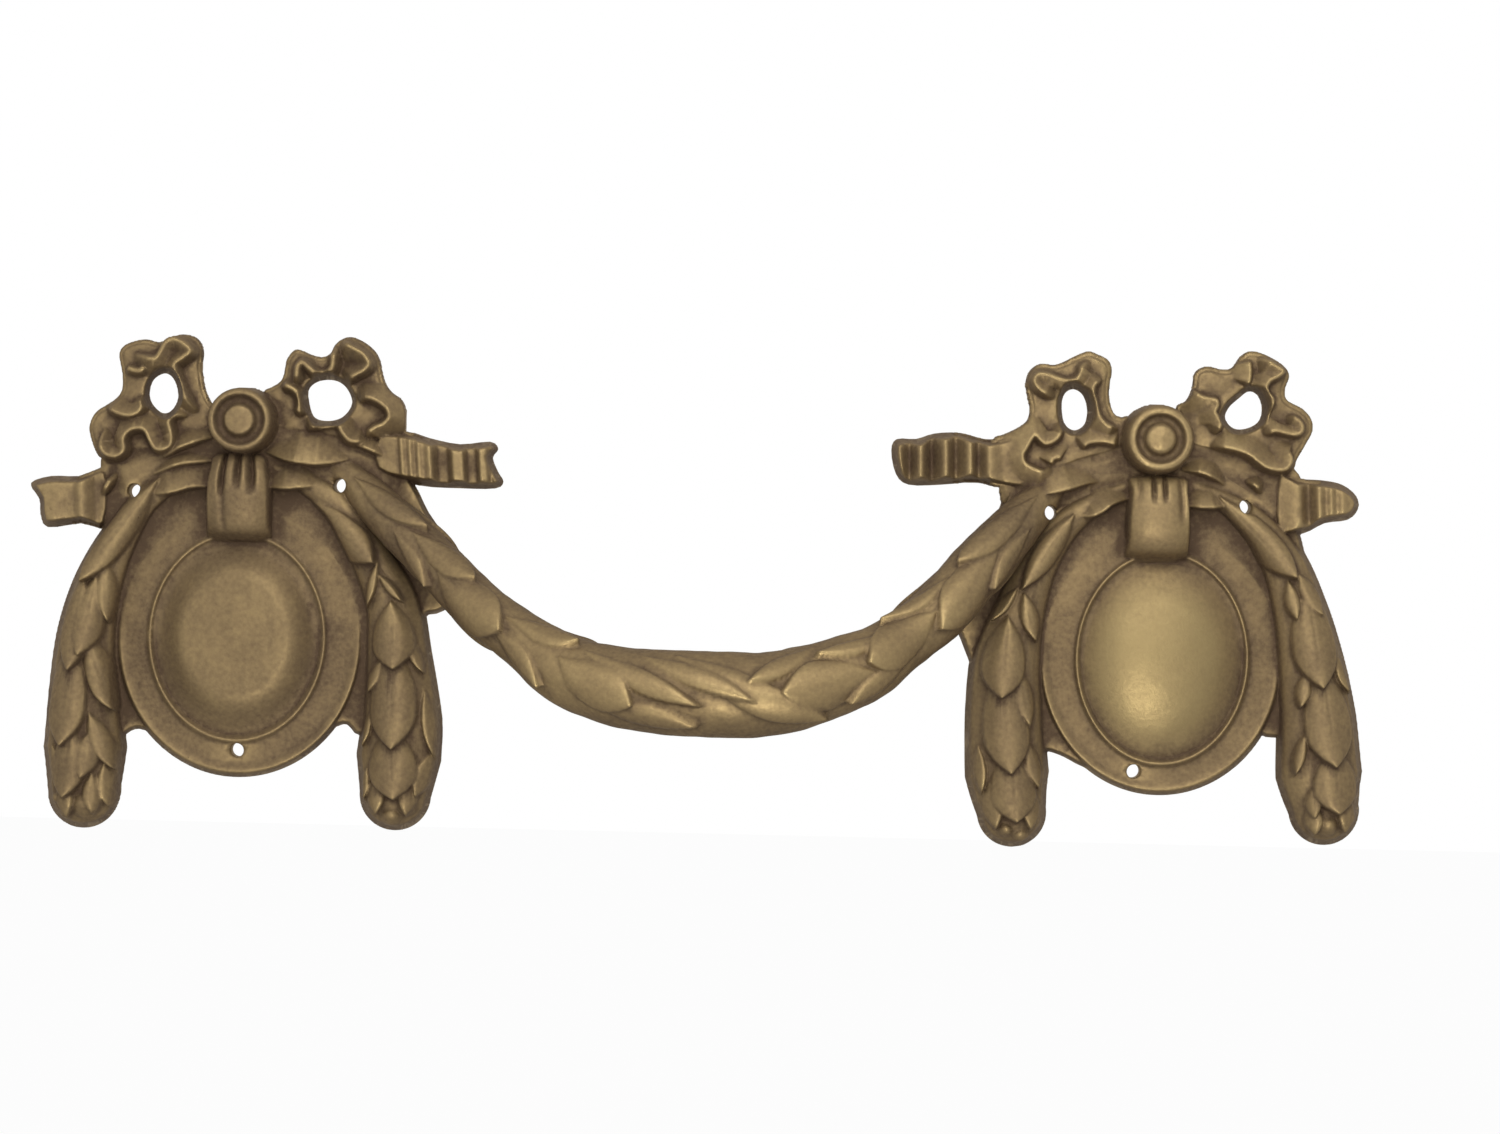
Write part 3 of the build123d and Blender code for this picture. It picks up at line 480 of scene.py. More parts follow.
rightPlate = dict(
    knot=(71.8, 51.2),
    web=[(0, 3), (-8, 1), (-16, -1.5), (-23, -1.5), (-23.8, -6), (-24, -9.6), (-24.9, -12), (-28.4, -16.6),
        (-33.3, -24), (-31.6, -28.5), (-30.2, -30.6), (-28.6, -34.4), (-26, -40), (-20, -48), (-16.2, -48.3),
        (-13.6, -49.1), (-10.5, -50.6), (-6, -51.6), (8, -49), (14.4, -46.4), (16.4, -45), (18.4, -45.4),
        (24, -44), (25, -33), (24.5, -24), (22.8, -16.6), (21.6, -12), (20.5, -5), (12, -1)],
    oval=dict(centre=(0.95, -33.9), outer=(19, 20.8), beadCentre=(1.2, -33.6), bead=(13.1, 16.2), field=2.8,
        lipFade=24, beadRise=0.8, dome=3.8, plateau=0.5, cap=0.9, seed=1.9),
    mound=[(-23, -4), (-12, -1), (0, 2), (11, 0), (21, -4), (22, -10), (18, -15), (12, -11), (6, -9),
        (-6, -9), (-12, -12), (-18, -15), (-23.8, -11)],
    garlands=[dict(
        stations=[(-2, -5.6, 1.6), (-12.1, -11.7, 5.4), (-17.5, -18.2, 7.1), (-20.5, -25.6, 8.8),
            (-22.5, -33.6, 11.4), (-22.75, -42, 12.3), (-22.2, -52, 13), (-21.35, -57.8, 10.7)],
        leaves=[(-12.9, -11.6, -21.1, -23.7, 3.7), (-20.6, -23.9, -18.5, -31.6, 2.8),
            (-21.5, -23.3, -25.6, -28.6, 1.7), (-22.9, -27.5, -23.9, -40.3, 6.6),
            (-21.2, -35.5, -19.2, -44.6, 2.9), (-23.9, -35.3, -22.1, -51.8, 7.1),
            (-27, -47.4, -26.3, -55.1, 1.8), (-19.7, -46.5, -17.5, -54, 2.5), (-22.3, -47.6, -21, -59.1, 7.1),
            (-25.3, -53, -24, -60.4, 3), (-18.6, -53.5, -18.7, -60.4, 2.8)],
        buds=[(-22.6, -60.5, 0.9), (-19.9, -61.6, 1.1), (-18.3, -59.1, 1.2)],
    ), dict(
        stations=[(2, -5.2, 1.6), (13.2, -11.1, 5.6), (18.9, -17.7, 7.6), (22, -25.6, 9.2), (23.9, -33.8, 11),
            (25.2, -42.2, 12.4), (25.85, -51, 13.4), (26.7, -56.3, 10.9)],
        leaves=[(9.1, -8.3, 21.2, -21, 4.8), (19.8, -21.1, 21.1, -27.4, 2.2), (21.3, -20, 25.3, -26.6, 2.8),
            (22.6, -21.4, 25, -37.7, 6.9), (27.4, -32.1, 30, -38.4, 2.3), (23, -34.8, 21.8, -40.7, 2.2),
            (25.1, -34, 27.2, -49.6, 7.5), (22.8, -44.4, 21.3, -51.1, 1.7), (27.1, -46.3, 28, -56.7, 7.1),
            (24.2, -52.3, 24.4, -57.6, 2.3), (24.2, -55, 24.8, -60.2, 2.6), (29.8, -53.5, 29.4, -59.8, 2.8)],
        buds=[(26.8, -58.8, 1.2), (30.6, -57.4, 0.9)],
    )],
    tails=[dict(
        outline=[(-20, 0.2), (-24.5, -0.3), (-26.8, -0.5), (-30.7, 0.4), (-34.6, 0.2), (-37.4, -0.7),
            (-40.4, -0.8), (-41.2, -2.6), (-40.4, -6.2), (-38.4, -7.8), (-33.6, -7.7), (-28.2, -7.2),
            (-24.5, -7.9), (-20, -7.6)],
        waves=[(-41.4, 4.4), (-40.2, 5), (-38.5, 3.3), (-36.9, 5.8), (-35.1, 3.2), (-33, 5.7), (-31.4, 3.3),
            (-29.2, 5.5), (-27.9, 3.4), (-26.2, 4.9), (-24, 4.2), (-20, 3.8)],
        lean=0.03,
    ), dict(
        outline=[(18, -4.4), (21.6, -5.4), (25.4, -5.6), (28.4, -6.2), (30.6, -7.9), (30.9, -9.9),
            (29.3, -11.6), (25.8, -12.2), (22.4, -13.9), (18, -13.9)],
        waves=[(18, 3.8), (21.2, 4.8), (22.9, 3.5), (24.4, 5.2), (25.4, 4.7), (26.2, 5.2), (27, 4.8),
            (27.9, 5.2), (29.2, 4.9), (31, 4.6)],
        lean=0.05,
    )],
    loops=[dict(
        base=3.7,
        outline=[(-4.6, 3.4), (-5.9, 3.4), (-7.1, 4), (-7.8, 6.2), (-7.8, 8.5), (-7.5, 10.5), (-8.1, 12.1),
            (-9.8, 13), (-11.3, 13.4), (-13.3, 12.6), (-14.8, 11.8), (-16.4, 11.2), (-18.6, 11.3),
            (-20.2, 10.2), (-20.8, 8.3), (-20.5, 6.2), (-20.1, 4.4), (-20.4, 2.6), (-21.8, 1.4), (-24, 0.3),
            (-25.5, -0.4), (-25.4, -3.2), (-22.4, -5.6), (-17, -5.8), (-12, -4), (-7, -2.4), (-3, 0)],
        eye=[(-15.1, 5.2), (-14.6, 6.9), (-13.3, 7.5), (-11.9, 6.6), (-11.2, 4.4), (-11.6, 2.1), (-13.2, 1.2),
            (-14.7, 2.4)],
        ridges=[
            (6.2, 0.7, 1.5, [(-16.1, 6.1), (-17.6, 6.6), (-19, 7.5), (-19.6, 8.6), (-19, 9.5), (-17.8, 9.5),
                (-16.2, 9), (-14.6, 8.6), (-13.3, 8.8), (-12.6, 9.7), (-12.2, 10.9), (-10.9, 11.8)]),
            (6.2, 0.7, 1.3, [(-9.1, 9.4), (-10.4, 8.2), (-10.7, 6.9), (-10.3, 5.5), (-9.9, 4), (-9.2, 2.7),
                (-8.1, 1.8), (-6.4, 1.2)]),
            (6.2, 0.6, 1.6, [(-15.9, 2.4), (-15.4, 0.9), (-16.2, -0.4), (-17.6, -1), (-18.5, -0.4),
                (-19.3, 0.3), (-20, -0.5), (-20.7, -1.8), (-21.2, -2.9), (-20.8, -4.2), (-19.2, -5.1),
                (-17.7, -5.4), (-16.6, -4.4)]),
            (5.4, 1.2, 0.6, [(-16.9, -4.2), (-16.4, -3.3), (-15.6, -3), (-15, -3.3)]),
            (5.8, 1.3, 0.6, [(-12.3, -1.6), (-11, -0.7), (-9.2, -0.4), (-7.6, -0.6), (-6.3, -0.9)])],
    ), dict(
        base=3.7,
        outline=[(2.4, 4.8), (3.9, 6.1), (4.8, 8), (5.1, 10.2), (6, 11.2), (7.5, 11.5), (9.4, 11.1),
            (10.9, 11.4), (12.1, 13.1), (13.6, 14), (15.6, 13.7), (17.9, 12.6), (19.3, 11.5), (19.8, 10.2),
            (19.2, 8.2), (19.6, 6.6), (21.9, 5.4), (23.3, 3.9), (23.6, 2), (22.5, -0.3), (21.3, -2.5),
            (20.5, -4.4), (17.4, -4.8), (12, -2.6), (8, -2), (4, -0.4)],
        eye=[(10.1, 3.6), (10.6, 5.2), (12, 6.6), (13.6, 7.8), (15, 7.2), (15.7, 5.2), (15.2, 3.2),
            (13.4, 2.1), (11.4, 2.1)],
        ridges=[
            (6.1, 0.6, 1.5, [(4.5, 7.9), (5.6, 6.9), (7, 6.4), (8.3, 6.2), (8.5, 5.4), (8.1, 4.5), (8.6, 3.5),
                (9, 2.4), (8.2, 0.9)]),
            (5.9, 0.6, 1.2, [(13.1, 12.6), (13.4, 11), (13.3, 9.4), (13, 8.5)]),
            (6.2, 0.6, 1.3, [(14.6, 12.7), (15.9, 12.4), (17.2, 11.7), (18.4, 10.9), (17.6, 10.1),
                (16.5, 9.5), (15.9, 8.5), (16.2, 7.4), (16.9, 6.5), (16.7, 5.5), (16.3, 4.7), (16, 3.6),
                (15.8, 2)]),
            (6, 1.3, 0.6, [(15.8, 1.2), (17.5, 1.8), (19.2, 1.5), (20.7, 1.3), (21.6, 1.9), (21.4, 3),
                (20.5, 3.7), (19.2, 3.9)]),
            (6.2, 1.6, 0.6, [(7.7, -0.6), (10, -0.9), (12.3, -1.4), (13.9, -2.1), (15.3, -3.2), (16.6, -3.9),
                (18.2, -4.2), (19.4, -3.9), (20, -2.7), (19.6, -1.3), (20.2, 0.1)])],
    )],
    folds=[
        (6.2, 0.4, 3, [(-8, -6.4), (-11, -6.9), (-13.7, -7.8), (-16.8, -8.6), (-19.9, -8.8), (-22.6, -8.4)]),
        (6, 0.4, 2.2, [(-3, -8.6), (-6.9, -9.9), (-8.7, -11.2), (-10.6, -12), (-12.4, -11.7), (-14.9, -11)]),
        (6, 2.2, 0.4, [(2, -9.8), (7, -10.2), (9.6, -10), (12.4, -9.3)]),
        (5.6, 1.8, 0.5, [(2.2, -4.2), (6, -4.8), (7.6, -5.3), (9.2, -6), (11, -7.3)]),
        (5.4, 1.2, 0.6, [(12.8, -5.6), (14.6, -6.6), (15.3, -7.3), (16.2, -8.4)])],
    strap=dict(
        top=-5.2, foot=-18.6, middle=0, halfWidths=(4.6, 5, 5.2, 5.1),
        outline=[(-4.4, -5.4), (4.1, -5.4), (4.9, -8), (5.3, -12.5), (5.2, -17.4), (4.8, -18.9), (0, -19.2),
            (-4.8, -18.9), (-5.2, -16), (-5.3, -12), (-4.9, -8)],
        bulge=(5.4, 7, 8, 8.1, 6.6, 3.8),
        flutes=[(-0.66, 0.07, 0.5, 0, 0.32), (-0.23, 0.06, 1.2, 0, 0.36), (0.12, 0.06, 1.3, 0, 0.36),
            (0.66, 0.1, 0.6, 0, 0.6)],
    ),
    rosette=dict(
        centre=(-0.5, -0.05),
        profile=[(0, 9.3), (1.8, 9.1), (2.3, 8.7), (2.5, 8), (3, 7.7), (3.5, 8), (3.75, 8.8), (4.1, 9),
            (4.7, 8.8), (5.1, 8.1), (5.3, 6.8), (5.4, 5), (5.6, 2)],
    ),
)


swagForm = dict(
    stations=[  # x, depth in front of the back, z, diameter
        (-55.5, 1.0, 45.2, 4.4), (-46.7, 5.3, 36.95, 6.8), (-37.7, 9.2, 28.95, 7.6), (-31.2, 12.9, 23.1, 7.9),
        (-24.8, 16.0, 18.8, 8.25), (-18.0, 18.4, 14.45, 10.4), (-12.4, 19.9, 12.6, 11.4),
        (-6.5, 20.8, 11.65, 12.2), (3.0, 21.6, 11.3, 12.7), (14.1, 20.8, 11.75, 12.3),
        (25.9, 18.2, 15.6, 10.9), (31.9, 15.8, 19.4, 8.9), (38.0, 12.9, 24.2, 8.9), (44.2, 9.2, 31.2, 8.7),
        (50.4, 5.3, 37.9, 7.4), (56.8, 1.0, 44.6, 4.4)],
    rings=620,
    round=150,
    # base x and side, tip x and side, width: side is the share of the half width seen from the front
    leaves=[
        (-51.5, 0.2, -40.9, 0.72, 3.6), (-43.5, -0.2, -36.0, -0.7, 2.4), (-42.0, 0.3, -32.4, 0.62, 4.4),
        (-36.5, -0.1, -25.6, -0.08, 7.6), (-27.0, -0.2, -18.2, -0.66, 3.2), (-26.5, 0.4, -16.2, 0.8, 3.6),
        (-18.0, 0.3, -6.3, -0.3, 6.6), (-15.5, 0.75, 2.8, -0.22, 3.4), (-6.5, 0.85, 10.0, -0.1, 3.2),
        (-1.5, 0.9, 19.0, -0.78, 4.8), (-12.5, -0.45, 2.6, -0.62, 3.6), (20.5, 0.9, 8.6, 0.3, 3.2),
        (26.5, -0.2, 13.3, 0.05, 7.6), (31.5, 0.45, 19.3, 0.66, 2.6), (36.5, 0.15, 25.6, 0.1, 6.6),
        (31.0, -0.4, 21.6, -0.62, 3.2), (40.5, 0.6, 30.4, 0.84, 2.6), (45.5, 0.0, 35.2, -0.32, 7.0),
        (53.0, 0.3, 41.6, 0.6, 4.4), (49.5, -0.4, 42.0, -0.66, 3.0)],
    backLeaves=[(-38, 1), (-26, -1), (-14, 1), (-4, -1), (14, 1), (22, -1), (33, 1), (42, -1)],  # tip x, way
    backLeaf=dict(length=11, width=5.5, baseTurn=2.2, tipTurn=2.45),  # turns in radians from the front
    leaf=dict(lift=(-0.3, 0.9), keel=0.45, tipRound=2.0),
)


# Round the swag: radius = core radius + highest of the leaves, each a pointed oval on the unrolled surface
def swagPiece(name, form):
    fine = smoothLine(form["stations"], steps=40)
    run = np.concatenate([[0], np.cumsum(np.linalg.norm(np.diff(fine[:, :3], axis=0), axis=1))])
    s = np.linspace(0, run[-1], form["rings"])
    x, forward, z, diameter = (np.interp(s, run, values) for values in fine.T)
    centre = np.stack([x, -forward, z], -1)
    core = diameter / 2
    along = np.gradient(centre, axis=0)
    along /= np.linalg.norm(along, axis=1, keepdims=True)
    front = np.array([0, -1, 0]) + along * along[:, 1:2]
    front /= np.linalg.norm(front, axis=1, keepdims=True)
    upward = np.cross(along, -front)
    upward *= np.sign(upward[:, 2:3])
    turn = np.linspace(-math.pi, math.pi, form["round"], endpoint=False)
    sGrid, turnGrid = np.meshgrid(s, turn, indexing="ij")

    # base and tip as x and turn, the way round from the front
    def leaf(base, tip, width):
        baseRun, tipRun = (float(np.interp(place[0], fine[:, 0], run)) for place in (base, tip))
        radius = float(np.interp((baseRun + tipRun) / 2, s, core))
        return leafHeight(sGrid, turnGrid * radius, 0.0, (baseRun, base[1] * radius),
                          (tipRun, tip[1] * radius), width, widest=0.6 if width > 4 else 0.5, **form["leaf"])

    lift = 0.06 * unevenness(sGrid, turnGrid * 5, 1.9, 0.7)
    for baseX, baseSide, tipX, tipSide, width in form["leaves"]:
        lift = np.maximum(lift, leaf((baseX, math.asin(baseSide)), (tipX, math.asin(tipSide)), width))
    plain = form["backLeaf"]
    for tipX, way in form["backLeaves"]:
        baseX = tipX + (-plain["length"] if tipX < 4 else plain["length"])
        lift = np.maximum(lift, leaf((baseX, way * plain["baseTurn"]), (tipX, way * plain["tipTurn"]),
                                     plain["width"]))
    radius = core[:, None] + lift
    points = (centre[:, None, :] + radius[..., None] * (front[:, None, :] * np.cos(turnGrid)[..., None]
              + upward[:, None, :] * np.sin(turnGrid)[..., None]))
    rings, count = sGrid.shape
    index = np.arange(rings * count).reshape(rings, count)
    after = np.roll(index, -1, axis=1)
    quads = np.stack([index[:-1], index[1:], after[1:], after[:-1]], -1).reshape(-1, 4)
    first = np.stack([after[0], np.full(count, rings * count), index[0]], -1)
    last = np.stack([index[-1], np.full(count, rings * count + 1), after[-1]], -1)
    ends = centre[[0, -1]]
    return meshPiece(name, np.concatenate([points.reshape(-1, 3), ends]) * mm, quads, first, last)


# Keeps what the modifiers of a piece make of it as its mesh
def applied(piece):
    view = bpy.context.evaluated_depsgraph_get()
    mesh = bpy.data.meshes.new_from_object(piece.evaluated_get(view))
    piece.modifiers.clear()
    piece.data = mesh


def cutWith(piece, cutter, how):
    change = piece.modifiers.new(how, "BOOLEAN")
    change.operation = how
    change.solver = "MANIFOLD"
    change.object = cutter
    applied(piece)
    bpy.data.objects.remove(cutter)
    print(how.lower(), "done:", len(piece.data.polygons), "faces")


# Plain cutters: a box from corner to corner, and oval pins, whose radii shrink by narrowing for each
# millimetre forwards
def boxCutter(low, high):
    corner = np.array([[x, y, z] for x in (0, 1) for y in (0, 1) for z in (0, 1)])
    points = np.array(low) + corner * (np.array(high) - np.array(low))
    faces = np.array([[0, 1, 3, 2], [4, 6, 7, 5], [0, 4, 5, 1], [2, 3, 7, 6], [0, 2, 6, 4], [1, 5, 7, 3]])
    return meshPiece("boxCutter", points * mm, faces)


def pinCutter(places, radii, depth, narrowing=0.0, sides=48):
    turn = np.arange(sides) * 2 * math.pi / sides
    points, faceSets = [], []
    for number, (x, z) in enumerate(places):
        for y in (-depth, 2):
            across, upward = (radius + narrowing * y for radius in radii)
            oval = [x + across * np.cos(turn), np.full(sides, y), z + upward * np.sin(turn)]
            points.append(np.stack(oval, -1))
        near = 2 * sides * number + np.arange(sides)
        far = near + sides
        walls = np.stack([near, far, np.roll(far, -1), np.roll(near, -1)], -1)
        faceSets += [np.stack([near, far[::-1]]), walls]
    return meshPiece("pinCutter", np.concatenate(points) * mm, *faceSets)


behindBack = dict(low=(-120, 0, -40), high=(120, 20, 90))
nailHoles = dict(places=[(-69.25, 0), (69.25, 0), (-85.9, 39.6), (-54.1, 41.2), (55.2, 39.6), (85.3, 41.2)],
                 radii=(1.1, 1.1), depth=12)
backHollows = dict(places=[(-69.1, 17.0), (73.1, 17.5)], radii=(10.5, 11.6), depth=2.2, narrowing=0.36)

casting = blockFromSheet("left_plate", plateSheet(leftPlate), leftPlate["knot"])
print("left plate:", len(casting.data.polygons), "faces")
cutWith(casting, blockFromSheet("right_plate", plateSheet(rightPlate), rightPlate["knot"]), "UNION")
cutWith(casting, swagPiece("swag", swagForm), "UNION")
cutWith(casting, boxCutter(**behindBack), "DIFFERENCE")
cutWith(casting, pinCutter(**nailHoles), "DIFFERENCE")
cutWith(casting, pinCutter(**backHollows), "DIFFERENCE")
casting.name = "handle"
triangles = sum(len(face.vertices) - 2 for face in casting.data.polygons)
if triangles > relief["triangles"]:
    thin = casting.modifiers.new("thin", "DECIMATE")
    thin.ratio = relief["triangles"] / triangles
    applied(casting)
print("casting thinned:", len(casting.data.polygons), "faces")

wearAndShade = dict(
    # how much it stands out from itself smoothed: passes, rise in mm that counts as 1, worn, grime and
    # painted shade in hollows
    scales=[(3, 0.05, 0.10, 0.10), (20, 0.3, 0.11, 0.30)],
    height=([0, 2.5, 4.5, 7.0, 9.0, 18.0], [0.05, 0.37, 0.54, 0.55, 0.36, 0.70]),  # mm in front, rub there: low places darker, patina and painted shade
    back=0.5,
    flatBack=0.995,  # faces that look straight back are the plain flat back
    shadeAndLightOvals=[  # ovals made darker or lighter, painted shade under the swag and painted light on the right plate: middle and half sizes of an oval, and what it adds to rub
        (-69.4, 39.0, 8.0, 11.0, -0.22),  # left strap, darker
        (-69.2, 17.2, 14.0, 17.0, -0.12),  # left dome, darker
        (3.0, 3.5, 34.0, 6.0, -0.20),  # underside of the swag, painted shade
        (71.8, 51.2, 9.0, 9.0, 0.16),  # right rosette, lighter
        (71.8, 22.0, 52.0, 60.0, 0.05),  # right plate, painted light
    ],
    polished=[(-69.2, 17.2, 11.4, 13.6, 0.1), (72.0, 16.6, 13.4, 16.2, 0.80)],  # the domes, with their share
)


# Values for each corner, kept on the mesh. Rub and shade, from 0 in grimy, shaded recesses to 1 on worn high
# places = a curve of the height + how far it stands out from itself smoothed, at two scales, patina and
# painted shade in the hollows + the darker and lighter ovals, among them painted shade and light. Facing =
# how squarely it looks forwards, which darkens sideways faces as painted shade in the material. Polish = the
# ovals of the domes.
def markWearAndShade(mesh, form):
    count = len(mesh.vertices)
    points, normals = np.empty(count * 3), np.empty(count * 3)
    mesh.vertices.foreach_get("co", points)
    mesh.vertex_normals.foreach_get("vector", normals)
    points, normals = points.reshape(-1, 3) / mm, normals.reshape(-1, 3)
    edges = np.empty(len(mesh.edges) * 2, int)
    mesh.edges.foreach_get("vertices", edges)
    a, b = edges.reshape(-1, 2).T
    degree = np.maximum(np.bincount(edges, minlength=count), 1)[:, None]

    def spreadOut(values, times):
        for _ in range(times):
            around = [np.bincount(a, v[b], count) + np.bincount(b, v[a], count) for v in values.T]
            values = 0.4 * values + 0.6 * np.stack(around, -1) / degree
        return values

    # 1 inside an oval, falling to 0 at its edge by a cosine
    def inside(x, z, halfWidth, halfHeight):
        away = np.hypot((points[:, 0] - x) / halfWidth, (points[:, 2] - z) / halfHeight)
        return 0.5 + 0.5 * np.cos(np.pi * np.clip((away - 0.55) / 0.45, 0, 1))

    behind = normals[:, 1] > 0.3
    rubAndShade = np.where(behind, form["back"], np.interp(-points[:, 1], *form["height"]))
    for times, scale, worn, grimeAndShade in form["scales"]:
        rise = ((points - spreadOut(points, times)) * normals).sum(1) / scale
        rise = spreadOut(np.clip(rise, -1.5, 1.5)[:, None], 1)[:, 0]
        # Hollows darker: patina together with painted shade; high edges lighter as wear
        rubAndShade += np.where(rise > 0, worn, grimeAndShade) * rise
    # Ovals of painted shade under the swag and painted light on the right plate, with other darker and
    # lighter ovals
    for *oval, change in form["shadeAndLightOvals"]:
        rubAndShade += np.where(behind, 0, change * inside(*oval))
    polish = np.max([share * inside(*oval) for *oval, share in form["polished"]], axis=0)
    faceNormals, corners = np.empty(len(mesh.polygons) * 3), np.empty(len(mesh.polygons), int)
    mesh.polygons.foreach_get("normal", faceNormals)
    mesh.polygons.foreach_get("loop_total", corners)
    flatBack = faceNormals.reshape(-1, 3)[:, 1] > form["flatBack"]
    mesh.polygons.foreach_set("use_smooth", ~flatBack)
    onBack = np.repeat(flatBack, corners)
    vertex = np.empty(len(mesh.loops), int)
    mesh.loops.foreach_get("vertex_index", vertex)
    marks = dict(rubAndShade=(rubAndShade, form["back"]), facing=(np.abs(normals[:, 1]), 1.0), polish=(polish, 0.0))
    for name, (values, plain) in marks.items():
        layer = mesh.attributes.new(name, "FLOAT", "CORNER")
        values = np.where(onBack, plain, np.clip(values, 0, 1)[vertex])
        layer.data.foreach_set("value", values.astype(np.float32))
    print("wear marked: mean rub", round(float(rubAndShade.mean()), 3))


def link(tree, start, end):
    tree.links.new(start, end)


def setInputs(node, values):
    for label, value in values.items():
        node.inputs[label].default_value = value


def mathNode(tree, operation, *values, clamp=False):
    node = tree.nodes.new("ShaderNodeMath")
    node.operation = operation
    node.use_clamp = clamp
    for socket, value in zip(node.inputs, values):
        if hasattr(value, "links"):
            link(tree, value, socket)
        else:
            socket.default_value = value
    return node.outputs[0]


def attribute(tree, name):
    node = tree.nodes.new("ShaderNodeAttribute")
    node.attribute_name = name
    return node.outputs["Fac"]


# New node group with sockets from name, kind and value, and the sockets that its own nodes use
def newGroup(name, inputs, outputs):
    group = bpy.data.node_groups.new(name, "ShaderNodeTree")
    for way, sockets in (("INPUT", inputs), ("OUTPUT", outputs)):
        for label, kind, value in sockets:
            socket = group.interface.new_socket(label, in_out=way, socket_type="NodeSocket" + kind)
            if value is not None:
                socket.default_value = value
    return group, group.nodes.new("NodeGroupInput").outputs, group.nodes.new("NodeGroupOutput").inputs


tarnishAndShadeForm = dict(
    cloud={"Scale": 140, "Detail": 5, "Roughness": 0.7},
    fine={"Scale": 1500, "Detail": 2},
    facing=(0.85, 0.15),  # share of rub that depends on facing, painting shade on sideways faces, and the rest
)


# Tarnish and painted shade: mask = rub, less where it faces sideways as painted shade, + blotches of a cloudy
# noise + grain of a fine one
def tarnishAndShadeGroup(form):
    inputs = [("Coords", "Vector", None), ("RubAndShade", "Float", 0.5), ("Facing", "Float", 1.0),
              ("Blotches", "Float", 0.55), ("Grain", "Float", 0.5)]
    tree, given, result = newGroup("tarnishAndShade", inputs, [("Mask", "Float", None), ("Grain", "Float", None)])
    # Faces turned sideways get darker: painted shade
    turned = mathNode(tree, "MULTIPLY_ADD", given["Facing"], *form["facing"])
    mask = mathNode(tree, "MULTIPLY", given["RubAndShade"], turned)
    for name, label, last in (("cloud", "Blotches", False), ("fine", "Grain", True)):
        noise = tree.nodes.new("ShaderNodeTexNoise")
        setInputs(noise, form[name])
        link(tree, given["Coords"], noise.inputs["Vector"])
        swing = mathNode(tree, "SUBTRACT", noise.outputs["Fac"], 0.5)
        mask = mathNode(tree, "ADD", mask, mathNode(tree, "MULTIPLY", swing, given[label]), clamp=last)
    link(tree, mask, result["Mask"])
    link(tree, noise.outputs["Fac"], result["Grain"])
    return tree


brassLook = dict(
    ramp=[(0.0, (0.098, 0.065, 0.042)), (0.25, (0.158, 0.111, 0.064)), (0.5, (0.220, 0.156, 0.082)),
          (0.75, (0.275, 0.198, 0.098)), (1.0, (0.338, 0.249, 0.120))],  # from grime and painted shade to bare brass
    tarnishAndShade={"Blotches": 0.55, "Grain": 0.5},
    bright=(0.290, 0.219, 0.103, 1),  # the polished domes
    leastPolish=0.35,  # share of the polish that grime and painted shade leave
    gloss={"Specular IOR Level": 0.15, "Specular Tint": (0.60, 0.46, 0.30, 1)},
    metal=(0.3, 0.62),  # in grime and painted shade, and where worn
    rough=(0.68, 0.40),
    bump={"Strength": 0.4, "Distance": 0.0001},
)


def agedBrass(look):
    material = bpy.data.materials.new("agedBrass")
    material.use_nodes = True
    tree = material.node_tree
    shader = tree.nodes["Principled BSDF"]
    tarnishAndShade = tree.nodes.new("ShaderNodeGroup")
    tarnishAndShade.node_tree = tarnishAndShadeGroup(tarnishAndShadeForm)
    setInputs(tarnishAndShade, look["tarnishAndShade"])
    link(tree, tree.nodes.new("ShaderNodeTexCoord").outputs["Object"], tarnishAndShade.inputs["Coords"])
    link(tree, attribute(tree, "rubAndShade"), tarnishAndShade.inputs["RubAndShade"])
    link(tree, attribute(tree, "facing"), tarnishAndShade.inputs["Facing"])
    mask = tarnishAndShade.outputs["Mask"]
    ramp = tree.nodes.new("ShaderNodeValToRGB")
    stops = ramp.color_ramp.elements
    while len(stops) < len(look["ramp"]):
        stops.new(0.5)
    for stop, (place, colour) in zip(stops, look["ramp"]):
        stop.position = place
        stop.color = (*colour, 1)
    link(tree, mask, ramp.inputs["Fac"])
    clean = mathNode(tree, "ADD", mask, look["leastPolish"])
    share = mathNode(tree, "MULTIPLY", attribute(tree, "polish"), clean, clamp=True)
    blend = tree.nodes.new("ShaderNodeMix")
    blend.data_type = "RGBA"
    blend.inputs["B"].default_value = look["bright"]
    link(tree, share, blend.inputs["Factor"])
    link(tree, ramp.outputs["Color"], blend.inputs["A"])
    link(tree, blend.outputs["Result"], shader.inputs["Base Color"])
    most = mathNode(tree, "MAXIMUM", mask, share)
    for label, (dull, worn) in (("Metallic", look["metal"]), ("Roughness", look["rough"])):
        link(tree, mathNode(tree, "MULTIPLY_ADD", most, worn - dull, dull), shader.inputs[label])
    setInputs(shader, look["gloss"])
    bump = tree.nodes.new("ShaderNodeBump")
    setInputs(bump, look["bump"])
    link(tree, tarnishAndShade.outputs["Grain"], bump.inputs["Height"])
    link(tree, bump.outputs["Normal"], shader.inputs["Normal"])
    return material


markWearAndShade(casting.data, wearAndShade)
casting.data.materials.clear()
casting.data.materials.append(agedBrass(brassLook))
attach(casting, "root")
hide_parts("handle_casting")

cameraForm = dict(lens=62.4, place=(9.28, -404, 30.15), turns=(90, -1.37, 0))  # in mm and degrees
camera = bpy.data.cameras.new("camera")
camera.lens = cameraForm["lens"]
cameraObject = addObject("camera", camera)
cameraObject.location = [value * mm for value in cameraForm["place"]]
cameraObject.rotation_euler = [math.radians(value) for value in cameraForm["turns"]]
bpy.context.scene.camera = cameraObject

